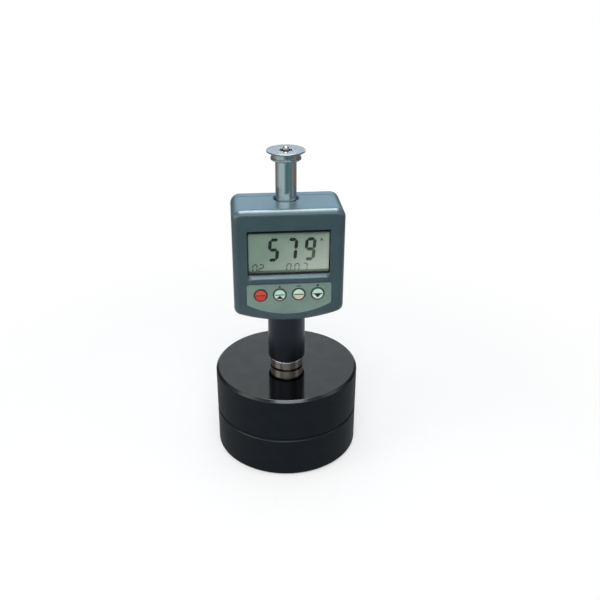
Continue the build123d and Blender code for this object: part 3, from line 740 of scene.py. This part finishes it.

# %% [markdown]
# ## The display
#
# A liquid crystal panel is a grey-green mirror behind glass. Its colour changes with the angle,
# and that is painted in: a painted reflection runs from dark at the upper left to pale at the
# lower right, and lit segments thin out the same way. The frame shades it along its lower and its
# upper edge, as painted shade. All of that is soft and even, so three masks on the place give it.

# %% Panel
LOWER_SHADE = (2.4, 1.5)
UPPER_SHADE = (23.6, 24.8)
PALER_RIGHT = 0.012
DARKER_UP = 0.016
panel_low = corners("display_panel")[0]
liquid, tree, shader = new_finish("liquid_crystal", Specular_IOR_Level=0.05)
point, x, y, z = place(tree)
haze = noise(point, scale=0.09)
cells = noise(point, scale=3.0, detail=1.0)
up = z - panel_low.z
# Painted shade along the panel's lower edge and under the frame's upper edge.
lower_edge = up.rise(*LOWER_SHADE)
under_frame = up.rise(*UPPER_SHADE)
# Painted reflection: the panel is painted paler towards the lower right and darker upwards.
glow = (x * PALER_RIGHT - up * DARKER_UP + 0.5).rise(0.1, 0.9)
colour = (glow * 0.8 + haze * 0.2).mix(paint(95, 111, 97), paint(161, 162, 150))
colour = (cells.rise(0.55, 0.75) * 0.25).mix(colour, paint(120, 138, 122))
colour = (lower_edge * 0.85 + under_frame * 0.5).mix(colour, paint(60, 70, 62))
feed(shader, Base_Color=colour, Roughness=0.5 + 0.1 * haze)
dress(liquid, "display_panel")
print("panel face at y =", round(panel_low.y, 2), "mm")

# %% [markdown]
# ## Finish of the segments
#
# A lit segment turns the light away and looks dark, a weak one only a little darker than the panel.
# Both thin out towards the lower right, so one function gives both, with its own two tones.

# %% Segments
THIN_RIGHT = 0.04
THIN_DOWN = 0.05


def segment_finish(name, dark, pale):
    """Dark liquid crystal that thins out towards the lower right, as it does at a slant."""
    material, tree, shader = new_finish(name, Specular_IOR_Level=0.05)
    point, x, y, z = place(tree)
    thin = (x * THIN_RIGHT - (z - panel_low.z) * THIN_DOWN).rise(-0.6, 0.5)
    cells = noise(point, scale=3.0, detail=1.0)
    colour = (thin * 0.75 + cells * 0.1).mix(dark, pale)
    feed(shader, Base_Color=colour, Roughness=0.5 + 0.1 * cells)
    return material


lit = segment_finish("lit_segments", paint(9, 15, 11), paint(84, 98, 84))
faint = segment_finish("faint_segments", paint(52, 62, 54), paint(100, 112, 99))
print("segment finishes:", lit.name, faint.name)

# %% [markdown]
# ## Frame and pane
#
# A black frame holds the panel, and a clear pane lies in the housing in front of it. The pane is
# real glass with a few wipe marks. A plain glass solid would leave the panel dark, because lamps
# don't shine through it, so a Transparent shader takes its place for shadow rays alone.

# %% Frame and pane
black_plastic, tree, shader = new_finish("black_frame_plastic", Specular_IOR_Level=0.3)
point = place(tree)[0]
grain = noise(point, scale=3.0)
feed(
    shader,
    Base_Color=grain.mix(paint(16, 18, 19), paint(26, 29, 30)),
    Roughness=0.45 + 0.15 * grain,
    Normal=bump(grain, strength=0.2, depth_mm=0.03),
)
dress(black_plastic, "display_frame")

clear, tree, shader = new_finish("clear_pane", Transmission_Weight=1.0, IOR=1.22)
point = place(tree)[0]
wipe = noise(point, scale=0.5, stretch=(1.0, 1.0, 0.25))
feed(shader, Roughness=0.02 + 0.03 * wipe.rise(0.45, 0.8))
shadow_ray = Signal.node(tree, "ShaderNodeLightPath", out="Is Shadow Ray")
let_through = Signal.node(tree, "ShaderNodeBsdfTransparent")
glass = Signal(tree, shader.outputs["BSDF"])
through = Signal.node(tree, "ShaderNodeMixShader", None, {0: shadow_ray, 1: glass, 2: let_through})
feed(tree.nodes["Material Output"], Surface=through)
dress(clear, "window_pane")
print("pane in front at y =", round(corners("window_pane")[0].y, 2), "mm")

# %% [markdown]
# ## The digits
#
# Each digit is seven bars with pointed ends, and each bar has a letter from a to g. Drawn by hand,
# every digit would be a drawing of its own. From its bars it is a word of a few letters. A digit
# leans a little to the right: its x grows with its height.

# %% Bars of a digit
BAR_GAP = 0.14
LIT_BARS = {"0": "abcdef", "2": "abged", "5": "afgcd", "7": "abc", "9": "abcdfg"}


def bars(digit, left, low, width, height, stroke, lean):
    """The lit bars of one digit as six-cornered outlines in X and Z, with a gap between bars.

    A bar's two tips lie on its line, and its other four corners lie half a stroke further in
    along that line and half a stroke to each side of it.
    """
    half = stroke / 2
    near, far = half, width - half
    foot, mid, head = half, height / 2, height - half
    spans = {
        "a": ((near, head), (far, head)),
        "b": ((far, head), (far, mid)),
        "c": ((far, mid), (far, foot)),
        "d": ((near, foot), (far, foot)),
        "e": ((near, mid), (near, foot)),
        "f": ((near, head), (near, mid)),
        "g": ((near, mid), (far, mid)),
    }
    ends = np.array([spans[name] for name in LIT_BARS[digit]])
    start, end = ends[:, 0], ends[:, 1]
    along = (end - start) / np.linalg.norm(end - start, axis=1, keepdims=True)
    across = np.stack([-along[:, 1], along[:, 0]], axis=-1) * half
    start = start + along * BAR_GAP
    end = end - along * BAR_GAP
    near_end, far_end = start + along * half, end - along * half
    loops = [start, near_end + across, far_end + across, end, far_end - across, near_end - across]
    loops = np.stack(loops, axis=1)
    loops[..., 0] += loops[..., 1] * lean
    return list(loops + (left, low))


print("a zero has", len(LIT_BARS["0"]), "of the seven bars lit")

# %% [markdown]
# ## Thin prisms
#
# Digits and marks could be painted with a texture, but a thin prism stays sharp at any size. So
# each outline stands on its surface by a few hundredths of a millimetre, closed on all sides.


# %% Prisms
def raised(name, outlines, base_y, height, body, material):
    """Closed prisms: each outline in X and Z, carried towards the viewer from base_y by height."""
    points = []
    faces = []
    for loop in outlines:
        n = len(loop)
        first = sum(map(len, points))
        x, z = np.asarray(loop).T
        back = np.stack([x, np.full(n, base_y), z], axis=-1)
        points += [back, back - (0.0, height, 0.0)]
        ring = np.arange(n)
        turn = np.roll(ring, -1)
        faces += [(first + ring[::-1]).tolist(), (first + n + ring).tolist()]
        faces += (first + np.stack([ring, turn, turn + n, ring + n], axis=-1)).tolist()
    print(name, "has", len(outlines), "outlines")
    put(name, np.concatenate(points), faces, body, material)


# %% [markdown]
# ## The reading
#
# Three large digits give the reading, and a small fainter row under them has five more with a
# triangle at the upper right. Their places are measured from the panel's lower edge and middle.

# %% Digits of the display
SEGMENT_T = 0.05
BIG = {"low": panel_low.z + 7.55, "width": 6.5, "height": 14.25, "stroke": 1.95, "lean": 0.09}
SMALL = {"low": panel_low.z + 0.8, "width": 3.15, "height": 5.4, "stroke": 0.76, "lean": 0.07}
big_places = [("5", -12.6), ("7", -2.1), ("9", 8.4)]
small_places = [("0", -21.3), ("2", -17.7), ("0", -1.7), ("0", 2.95), ("7", 7.65)]
big_bars = [loop for digit, left in big_places for loop in bars(digit, left, **BIG)]
small_bars = [loop for digit, left in small_places for loop in bars(digit, left, **SMALL)]
mark = np.array([(17.9, 19.6), (20.1, 19.6), (18.6, 21.4)]) + (0.0, panel_low.z)
raised("display_digits", big_bars, panel_low.y, SEGMENT_T, "tester", lit)
raised("display_small_row", small_bars + [mark], panel_low.y, SEGMENT_T, "tester", faint)

# %% [markdown]
# ## The key sheet
#
# The sheet is a printed film with a fine matt texture. It lies in a recess of the front, so its
# solid already has the right edge, and it needs a finish alone: two close tones and a fine bump.

# %% Sheet finish
sheet, tree, shader = new_finish("printed_sheet", Specular_IOR_Level=0.35)
point = place(tree)[0]
matt = noise(point, scale=4.0)
shade = noise(point, scale=0.08)
colour = shade.rise(0.3, 0.7).mix(paint(102, 124, 116), paint(112, 133, 124))
colour = (matt.rise(0.5, 0.75) * 0.5).mix(colour, paint(94, 114, 106))
normal = bump(matt, strength=0.2, depth_mm=0.03)
feed(shader, Base_Color=colour, Roughness=0.4 + 0.12 * matt, Normal=normal)
dress(sheet, "keypad_overlay")
print("sheet is", round(2 * corners("keypad_overlay")[1].x, 1), "mm wide")

# %% [markdown]
# ## The keys
#
# The keys are round caps with a dark border near the rim. One is red, two are mint, and one is mint
# above and beige below. The border is a mask on the distance from the key's middle, so it stays
# round and sharp without a picture.

# %% Key finishes
BORDER_R = 3.05
BORDER_BLUR = 0.25


def key_finish(name, node, upper, lower, border):
    """A cap with an upper and a lower colour and a dark border near its rim."""
    material, tree, shader = new_finish(name, Specular_IOR_Level=0.4)
    centre = middle(node)
    point, x, y, z = place(tree)
    fine = noise(point, scale=3.0)
    near_rim = distance(x, z, centre.x, centre.z).rise(BORDER_R, BORDER_R + BORDER_BLUR)
    colour = (z - centre.z).rise(-0.15, 0.15).mix(lower, upper)
    colour = near_rim.mix(colour, border)
    colour = (fine * 0.12).mix(colour, paint(90, 100, 95))
    normal = bump(fine, strength=0.1, depth_mm=0.02)
    feed(shader, Base_Color=colour, Roughness=0.32 + 0.12 * fine, Normal=normal)
    dress(material, node)


mint = paint(178, 212, 193)
pale_mint = paint(190, 208, 199)
beige = paint(197, 184, 157)
green_border = paint(36, 58, 48)
key_finish("red_cap", "power_key", paint(202, 60, 38), paint(186, 45, 27), paint(68, 23, 16))
key_finish("mint_cap_up", "up_key", mint, pale_mint, green_border)
key_finish("two_tone_cap", "set_key", mint, beige, green_border)
key_finish("mint_cap_down", "down_key", mint, pale_mint, green_border)
print("keys stand at x =", [round(middle(n).x, 2) for n in ("power_key", "up_key", "set_key", "down_key")])

# %% [markdown]
# ## Printed marks
#
# The keys carry plain lines and arrows in screen ink. Ink has a thickness, so each mark is a thin
# raised print rather than a stain in the key's colour. Three small functions give the outlines.


# %% Inks and shapes of the marks
DOT_SIDES = 24


def print_finish(name, dark, pale):
    """Screen ink with a slightly uneven lay."""
    material, tree, shader = new_finish(name, Specular_IOR_Level=0.3)
    lay = noise(place(tree)[0], scale=5.0)
    feed(shader, Base_Color=lay.mix(dark, pale), Roughness=0.45 + 0.15 * lay)
    return material


def bar(centre, width, height):
    """A plain bar in X and Z."""
    w, h = width / 2, height / 2
    return np.array([(-w, -h), (w, -h), (w, h), (-w, h)]) + centre


def pointer(centre, width, height, up):
    """A filled triangle that points up for 1 and down for -1."""
    w, h = width / 2, height / 2 * up
    return np.array([(-w, -h), (w, -h), (0, h)])[::up] + centre


def dot(centre, r):
    """A round spot: the points (r cos t, r sin t)."""
    t = np.linspace(0, 2 * pi, DOT_SIDES, endpoint=False)
    return np.stack([r * np.cos(t), r * np.sin(t)], axis=-1) + centre


ink = print_finish("dark_ink", paint(10, 16, 15), paint(20, 28, 25))
red_ink = print_finish("red_ink", paint(118, 20, 14), paint(136, 28, 20))
print("inks:", ink.name, red_ink.name)

# %% [markdown]
# ## Prints on the keys and the sheet
#
# A mark is drawn round the middle of its key and then moved there, so it rides with the key when
# that is pressed. Three more marks stand on the sheet above the keys and stay with the housing.

# %% Prints on the keys and the sheet
PRINT_T = 0.04
ABOVE_KEYS = 5.2
line = bar((0, 0), width=5.5, height=0.55)
marks = {
    "power_key": ([bar((0, 0), width=5.3, height=0.7)], red_ink, "red_key"),
    "up_key": ([line, pointer((0, -1.5), width=4.2, height=2.2, up=1)], ink, "mint_key"),
    "set_key": ([line], ink, "two_tone_key"),
    "down_key": ([line, pointer((0, -1.25), width=4.2, height=2.4, up=-1)], ink, "mint_key"),
}
for node, (outlines, stain, slot) in marks.items():
    centre = middle(node)
    face = corners(node)[0].y
    shifted = [loop + (centre.x, centre.z) for loop in outlines]
    raised(node + "_print", shifted, face, PRINT_T, node, stain)
sheet_z = middle("up_key").z + ABOVE_KEYS
sheet_marks = [
    pointer((middle("up_key").x, sheet_z), width=1.8, height=1.2, up=1),
    bar((middle("set_key").x, sheet_z), width=2.6, height=0.55),
    dot((middle("down_key").x, sheet_z), r=0.65),
]
sheet_face = corners("keypad_overlay")[0].y
raised("sheet_print", sheet_marks, sheet_face, PRINT_T, "tester", ink)

# %% [markdown]
# ## Inside the housing
#
# Little of the inside shows, but the battery door comes off and the tube moves, so each piece has
# its own finish too. The cells come first: a plain grey wrap with a paler shoulder and bare ends.
# Each is a mask on the height, counted from 0 to 1 along the cell, so no picture is needed.

# %% Cells
BARE_ENDS = (0.47, 0.475)
SHOULDER = (0.68, 0.69)
cell_low, cell_high = corners("batteries")
jacket, tree, shader = new_finish("cell_jacket", Specular_IOR_Level=0.5)
point, x, y, z = place(tree)
along = (z - cell_low.z) * (1 / (cell_high.z - cell_low.z))
ends = abs(along - 0.5).rise(*BARE_ENDS)
shoulder = along.rise(*SHOULDER)
film = noise(point, scale=1.5)
colour = shoulder.mix(paint(62, 76, 84), paint(140, 147, 150))
colour = ends.mix(colour, paint(190, 190, 186))
normal = bump(film, strength=0.1, depth_mm=0.02)
feed(shader, Base_Color=colour, Metallic=ends, Roughness=0.28 + 0.12 * film, Normal=normal)
dress(jacket, "batteries")
print("cells are", round(cell_high.z - cell_low.z, 1), "mm long")

# %% [markdown]
# ## Contacts, coil and board
#
# The other inner pieces need no drawing of their own, but each is a different stuff. One function
# gives them two close colours under a noise. Stretched sideways, that noise becomes the turns of a
# winding or the rings of a tool.


# %% Contacts, coil and board
def plain_finish(name, first, second, scale, rough, metallic=1.0, stretch=(1.0, 1.0, 1.0)):
    """Two close colours under a noise of the given scale, with matching roughness."""
    material, tree, shader = new_finish(name, Metallic=metallic)
    lumps = noise(place(tree)[0], scale, 3.0, stretch)
    feed(
        shader,
        Base_Color=lumps.rise(0.3, 0.7).mix(paint(*first), paint(*second)),
        Roughness=rough + 0.12 * lumps,
        Normal=bump(lumps, strength=0.15, depth_mm=0.02),
    )
    return material


ROUND_WIRE = (0.05, 0.05, 1.0)
ROUND_TOOL = (0.05, 0.05, 3.0)
spring_wire = plain_finish("drawn_spring_wire", (150, 150, 152), (176, 176, 178), scale=2.0, rough=0.24)
plated = plain_finish("tinned_contact", (188, 184, 172), (204, 200, 190), scale=1.2, rough=0.26)
wire_tones = (172, 96, 58), (200, 120, 76)
copper = plain_finish("coil_copper", *wire_tones, scale=4.0, rough=0.3, stretch=ROUND_WIRE)
carbide = plain_finish("hard_tip", (112, 114, 118), (132, 134, 138), scale=3.0, rough=0.2)
magnet = plain_finish("nickel_magnet", (176, 172, 162), (190, 186, 176), scale=1.0, rough=0.22)
board = plain_finish("solder_mask", (22, 74, 46), (30, 92, 58), scale=0.8, rough=0.32, metallic=0.0)
zinc = plain_finish("zinc_screw", (150, 152, 154), (176, 178, 180), scale=1.5, rough=0.3)
dark_tones = (30, 33, 35), (40, 43, 45)
inner_plastic = plain_finish("inner_plastic", *dark_tones, scale=2.0, rough=0.45, metallic=0.0)
steel_tones = (150, 150, 148), (172, 172, 170)
bright = plain_finish("inner_steel", *steel_tones, scale=1.0, rough=0.26, stretch=ROUND_TOOL)
dress(plated, "battery_contacts")
dress(copper, "coil_winding")
dress(magnet, "impact_magnet")
dress(board, "circuit_board")
dress(zinc, "housing_screws", "lock_nut")
dress(inner_plastic, "battery_trays", "key_switches", "coil_bobbin")
dress(bright, "guide_tube", "guide_sleeve", "catch_chuck", "release_rod", "impact_body")
print("finishes so far:", len(bpy.data.materials))

# %% [markdown]
# ## Springs
#
# A compression spring is round wire along a helix. Its surface is the helix plus a small circle
# in the plane across the wire, spanned by the direction away from the axis and by the one at right
# angles to that and to the wire. A spring has to get shorter when its joint moves, which a rigid
# mesh can't; here each one gets a mesh of its own, and its pressed length is printed.

# %% Wire along a helix
SECTIONS = 48
SIDES = 12
FREE = 0.05
travel = {joint["name"]: joint["range_m"][1] / MM for joint in frame["record"]["behaviour"]["joints"]}


def spring(node, body, turns, wire, taken):
    """Round wire along a helix: centre(u) + wire/2 (cos v outwards + sin v across).

    Both ends are closed. taken is what the joint takes off the length; it goes into the printed
    pressed length alone.
    """
    low, high = corners(node)
    mean_r = high.x - wire / 2
    length = high.z - low.z
    u = np.linspace(0, 2 * pi * turns, SECTIONS * turns + 1)
    climb = (length - wire) / u[-1]
    zero = np.zeros_like(u)
    outwards = np.stack([np.cos(u), np.sin(u), zero], axis=-1)
    centre = mean_r * outwards + np.stack([zero, zero + axis_y, low.z + wire / 2 + climb * u], axis=-1)
    along = np.stack([-mean_r * np.sin(u), mean_r * np.cos(u), zero + climb], axis=-1)
    across = np.cross(along / np.hypot(mean_r, climb), outwards)
    v = np.linspace(0, 2 * pi, SIDES, endpoint=False)[None, :, None]
    section = wire / 2 * (np.cos(v) * outwards[:, None] + np.sin(v) * across[:, None])
    tube = centre[:, None] + section
    cap = np.ones((1, SIDES, 1))
    tube = np.concatenate([centre[:1, None] * cap, tube, centre[-1:, None] * cap])
    faces = grid_faces(len(tube), SIDES, False)
    piece = put(node + "_wire", tube.reshape(-1, 3), faces, body, spring_wire)
    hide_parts(node)
    (length - taken - FREE) / length
    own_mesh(piece)
    print(piece.name, "is", round(length, 1), "mm long, and", round(length - taken, 1), "mm when pressed")


# %% [markdown]
# ## The three springs
#
# The loading spring lifts the tube and stands on the grip. The release spring lifts the button out
# of its recess. The impact spring drives the impact body and is pressed as the body rises into it.

# %% Springs in place
stroke = travel["loading_stroke"]
press = travel["release_press"]
impact_low, impact_high = corners("impact_spring")
head_rise = corners("impact_body")[1].z + travel["impact_travel"] - impact_low.z
spring("loading_spring", "tester", turns=7, wire=1.2, taken=stroke)
spring("release_spring", "loader", turns=4, wire=0.5, taken=press)
spring("impact_spring", "loader", turns=13, wire=0.5, taken=head_rise)

# %% [markdown]
# ## The ball tip
#
# The part that strikes is a pin of hard metal with a ball end. It is one more turned outline: a
# quarter of a circle from the axis, a straight side and a flat back.

# %% Ball tip
BALL_STEPS = 16
tip_low, tip_high = corners("impact_tip")
tip_r = tip_high.x
tip_turn = np.linspace(-pi / 2, 0, BALL_STEPS)
ball = np.stack([tip_r * np.cos(tip_turn), tip_low.z + tip_r + tip_r * np.sin(tip_turn)], axis=-1)
tip_outline = [*ball.tolist(), (tip_r, tip_high.z), (0.0, tip_high.z)]
turned_piece("impact_tip", "impact", carbide, tip_outline, ease=0.15, solid=True, around=64)

# %% [markdown]
# ## Floor
#
# The tester stands on a wide pale disc, a hair below the block so that the two faces don't fight.
# A plain square would do, but its corners could show in a low view.

# %% Floor
FLOOR_R = 6.0
FLOOR_DROP = 0.0002
RINGS = 25
SPOKES = 64
ring_at = np.concatenate([[0.0], np.geomspace(0.02, FLOOR_R, RINGS - 1)])
spoke = np.linspace(0, 2 * pi, SPOKES, endpoint=False)
flat = np.full((RINGS, SPOKES), -FLOOR_DROP)
# The disc is (r cos v, r sin v, -drop).
disc = np.stack([np.outer(ring_at, np.cos(spoke)), np.outer(ring_at, np.sin(spoke)), flat], axis=-1)
floor_mesh = bpy.data.meshes.new("floor")
floor_mesh.from_pydata(disc.reshape(-1, 3).tolist(), [], grid_faces(RINGS, SPOKES, False))
floor = bpy.data.objects.new("floor", floor_mesh)
bpy.context.scene.collection.objects.link(floor)
print("floor reaches", FLOOR_R, "m")

# %% [markdown]
# ## What the floor shows
#
# The floor keeps a soft shadow near the block, and further out it is white, as the photograph's
# background is. A Light Path node tells the rays apart: the lamps light the plain floor, the camera
# sees it fade to white, and a mirror sees a quiet grey near the object, which keeps the underside
# of the housing from glowing, and a cool white further out.

# %% Floor finish
WHITE = (1.0, 1.0, 1.0, 1.0)
NEAR_GREY = (0.72, 0.72, 0.72, 1.0)
FAR_COOL = (0.9, 0.95, 1.0, 1.0)
FLOOR_TONE = paint(236, 237, 238)
SHADOW_FADES = (90.0, 330.0)
SIDE_WEDGE = 0.85
WEDGE_EDGE = (-2.0, 10.0)
WEDGE_FROM = (115.0, 150.0)
COOL_FROM = (180.0, 420.0)
pale, tree, shader = new_finish("pale_floor", Base_Color=FLOOR_TONE, Roughness=0.9, Specular_IOR_Level=0.0)
point, x, y, z = place(tree)
camera_ray = Signal.node(tree, "ShaderNodeLightPath", out="Is Camera Ray")
mirror_ray = camera_ray.also("Is Glossy Ray")
seen = camera_ray.most(camera_ray.also("Is Transmission Ray"))
reach = distance(x, y)
away = 0.5 + 0.5 * reach.rise(*SHADOW_FADES)
# Painted light for mirrors: two bright wedges of floor at the sides, which the foot and the ring show as
# upright highlights.
sideways = (abs(x) - SIDE_WEDGE * reach).rise(*WEDGE_EDGE) * reach.rise(*WEDGE_FROM)
# Painted shadow for mirrors: the grey near the object stands for the table in the tester's shade, and
# further out the tone is a cool white.
tone = sideways.most(reach.rise(*COOL_FROM)).mix(NEAR_GREY, FAR_COOL)
white = Signal.node(tree, "ShaderNodeEmission", None, {"Color": WHITE, "Strength": 1.0})
table = Signal.node(tree, "ShaderNodeEmission", None, {"Color": tone, "Strength": 1.0})
lit_floor = Signal(tree, shader.outputs["BSDF"])
shown = Signal.node(tree, "ShaderNodeMixShader", None, {0: seen * away, 1: lit_floor, 2: white})
shown = Signal.node(tree, "ShaderNodeMixShader", None, {0: mirror_ray, 1: shown, 2: table})
feed(tree.nodes["Material Output"], Surface=shown)
floor_mesh.materials.append(pale)
print("floor tone in linear light:", round(FLOOR_TONE[0], 2))

# %% [markdown]
# ## World
#
# The world is white to the camera and through glass, a cool white in mirrors, and a dim fill for
# everything else, so that the lamps shape the object and the background stays clean.

# %% World
AMBIENT = 0.34
COOL_MIRROR = (0.7, 0.86, 1.0, 1.0)
world = bpy.data.worlds.new("studio")
bpy.context.scene.world = world
world.use_nodes = True
tree = world.node_tree
camera_ray = Signal.node(tree, "ShaderNodeLightPath", out="Is Camera Ray")
mirror_ray = camera_ray.also("Is Glossy Ray")
seen = camera_ray.most(mirror_ray).most(camera_ray.also("Is Transmission Ray"))
tint = mirror_ray.mix(WHITE, COOL_MIRROR)
feed(tree.nodes["Background"], Color=tint, Strength=AMBIENT + (1 - AMBIENT) * seen)
print("ambient level:", AMBIENT)

# %% [markdown]
# ## A soft lamp
#
# A studio lamp shines through a wide cloth, so its shadows are soft and metal shows it as a bright
# patch. Blender's area lamp does the same. It is placed by its direction from the tester and its
# reach, which is easier to think in than three coordinates.


# %% A soft lamp
AIM = Vector((0.0, 0.0, 0.11))


def softbox(name, azimuth, elevation, reach, width, height, watts, colour):
    """An area lamp on a sphere round the tester, facing it. Azimuth 0 is in front, 90 on the right."""
    a, e = radians(azimuth), radians(elevation)
    out = Vector((sin(a) * cos(e), -cos(a) * cos(e), sin(e)))
    lamp = bpy.data.lights.new(name, "AREA")
    lamp.shape = "RECTANGLE"
    lamp.size = width
    lamp.size_y = height
    lamp.energy = watts
    lamp.color = colour
    made = bpy.data.objects.new(name, lamp)
    facing = out.to_track_quat("Z", "Y").to_matrix().to_4x4()
    made.matrix_world = Matrix.Translation(AIM + out * reach) @ facing
    made.visible_camera = False
    bpy.context.scene.collection.objects.link(made)
    return made


print("lamps aim at z =", round(AIM.z, 2), "m")

# %% [markdown]
# ## Lamps
#
# The key lamp stands in front and high up, and a soft one overhead fills in. Three more are seen
# by mirrors alone: the sheen lamp overhead draws the bright line along the housing's top edge, the
# edge lamp picks out the block's chamfer, and the strip in front gives the tube its streak. A long
# cool strip behind gives the housing's top its colour. Two side lamps keep the sides alive. One
# large lamp would be simpler, but each of these edges needs its own.

# %% Lamps
PLAIN = (1.0, 1.0, 1.0)
COOL = (0.84, 0.96, 1.0)
key = softbox("key_lamp", -4, 57, reach=0.8, width=0.4, height=0.3, watts=4.2, colour=(1.0, 0.99, 0.97))
key.visible_glossy = False
softbox("top_lamp", 170, 80, reach=0.9, width=0.7, height=0.7, watts=3.0, colour=(0.9, 0.97, 1.0))
sheen = softbox("sheen_lamp", 0, 95, reach=0.9, width=0.62, height=0.76, watts=28.0, colour=COOL)
sheen.visible_diffuse = False
edge = softbox("edge_lamp", 2, 54, reach=0.9, width=0.56, height=0.13, watts=3.0, colour=COOL)
edge.visible_diffuse = False
softbox("back_lamp", 180, 20.8, reach=3.0, width=3.3, height=0.24, watts=12.6, colour=(0.44, 0.75, 1.0))
front = softbox("front_lamp", -10, 21.5, reach=1.2, width=2.2, height=0.2, watts=12.2, colour=COOL)
front.visible_diffuse = False
softbox("left_lamp", -70, 25, reach=0.9, width=0.5, height=0.6, watts=2.6, colour=PLAIN)
softbox("right_lamp", 75, 25, reach=0.9, width=0.3, height=0.6, watts=0.8, colour=PLAIN)

# %% [markdown]
# ## Cards
#
# Chrome has no colour of its own: it shows what stands round it. In a studio, paper cards are set
# up for that, and so they are here. Each is a strip of a cylinder round the tester whose colour
# runs along the bend, and only mirrors see it.


# %% A card
def card(name, high, reach, stops):
    """A card bent round the tester, which only mirrors see.

    It is the surface (reach sin a, -reach cos a, z). Its colour runs straight from one stop to
    the next, and a stop is an azimuth in degrees with a colour.
    """
    azimuths = np.array([stop[0] for stop in stops], float)
    tones = np.array([stop[1] for stop in stops])
    degrees = np.arange(azimuths[0], azimuths[-1] + 1.0)
    tone = np.stack([np.interp(degrees, azimuths, channel) for channel in tones.T], axis=-1)
    a = np.radians(degrees)
    loop = np.stack([np.sin(a) * reach, -np.cos(a) * reach, np.zeros(len(a))], axis=-1)
    wall = np.concatenate([loop, loop + (0.0, 0.0, high)])
    low = np.arange(len(a) - 1)
    quads = np.stack([low, low + 1, low + len(a) + 1, low + len(a)], axis=-1)
    mesh = bpy.data.meshes.new(name)
    mesh.from_pydata(wall.tolist(), [], quads.tolist())
    colours = mesh.attributes.new("tone", "FLOAT_COLOR", "POINT")
    colours.data.foreach_set("color", np.tile(tone, (2, 1)).ravel())
    made = bpy.data.objects.new(name, mesh)
    bpy.context.scene.collection.objects.link(made)
    material = bpy.data.materials.new(name)
    material.use_nodes = True
    tree = material.node_tree
    shade = Signal.node(tree, "ShaderNodeAttribute", {"attribute_name": "tone"}, out="Color")
    glow = Signal.node(tree, "ShaderNodeEmission", None, {"Color": shade, "Strength": 1.0})
    feed(tree.nodes["Material Output"], Surface=glow)
    mesh.materials.append(material)
    made.visible_camera = False
    made.visible_diffuse = False
    made.visible_shadow = False
    made.visible_transmission = False
    print(name, "spans", degrees[-1] - degrees[0], "degrees")


# %% [markdown]
# ## The three cards
#
# A pale card on the left and a teal one from the front to the right give the tube its bands, and
# a dusky one stands behind. Where two cards meet they have the same colour, so that no seam shows.

# %% Cards in place
LEFT_EDGE = paint(170, 171, 170)
JOIN = paint(170, 200, 199)
RIGHT_EDGE = paint(160, 148, 143)
DUSK = paint(130, 132, 140)
card(
    "card_left",
    high=0.17,
    reach=0.37,
    stops=[
        (-105, LEFT_EDGE),
        (-86, paint(204, 206, 206)),
        (-72, paint(225, 229, 228)),
        (-48, paint(207, 221, 218)),
        (-36, paint(222, 238, 238)),
        (-28, paint(212, 232, 231)),
        (-20, JOIN),
    ],
)
card(
    "card_right",
    high=0.17,
    reach=0.28,
    stops=[
        (-20, JOIN),
        (-10, paint(128, 160, 161)),
        (-2, paint(108, 143, 144)),
        (7, paint(98, 132, 133)),
        (18, paint(105, 140, 140)),
        (29, paint(119, 148, 151)),
        (52, paint(125, 136, 140)),
        (64, paint(147, 148, 148)),
        (78, paint(168, 157, 153)),
        (82, RIGHT_EDGE),
    ],
)
card(
    "card_back",
    high=0.22,
    reach=0.41,
    stops=[
        (82, RIGHT_EDGE),
        (93, paint(133, 118, 112)),
        (110, paint(155, 133, 126)),
        (130, DUSK),
        (230, DUSK),
        (241, paint(159, 155, 157)),
        (255, LEFT_EDGE),
    ],
)

# %% [markdown]
# ## The end
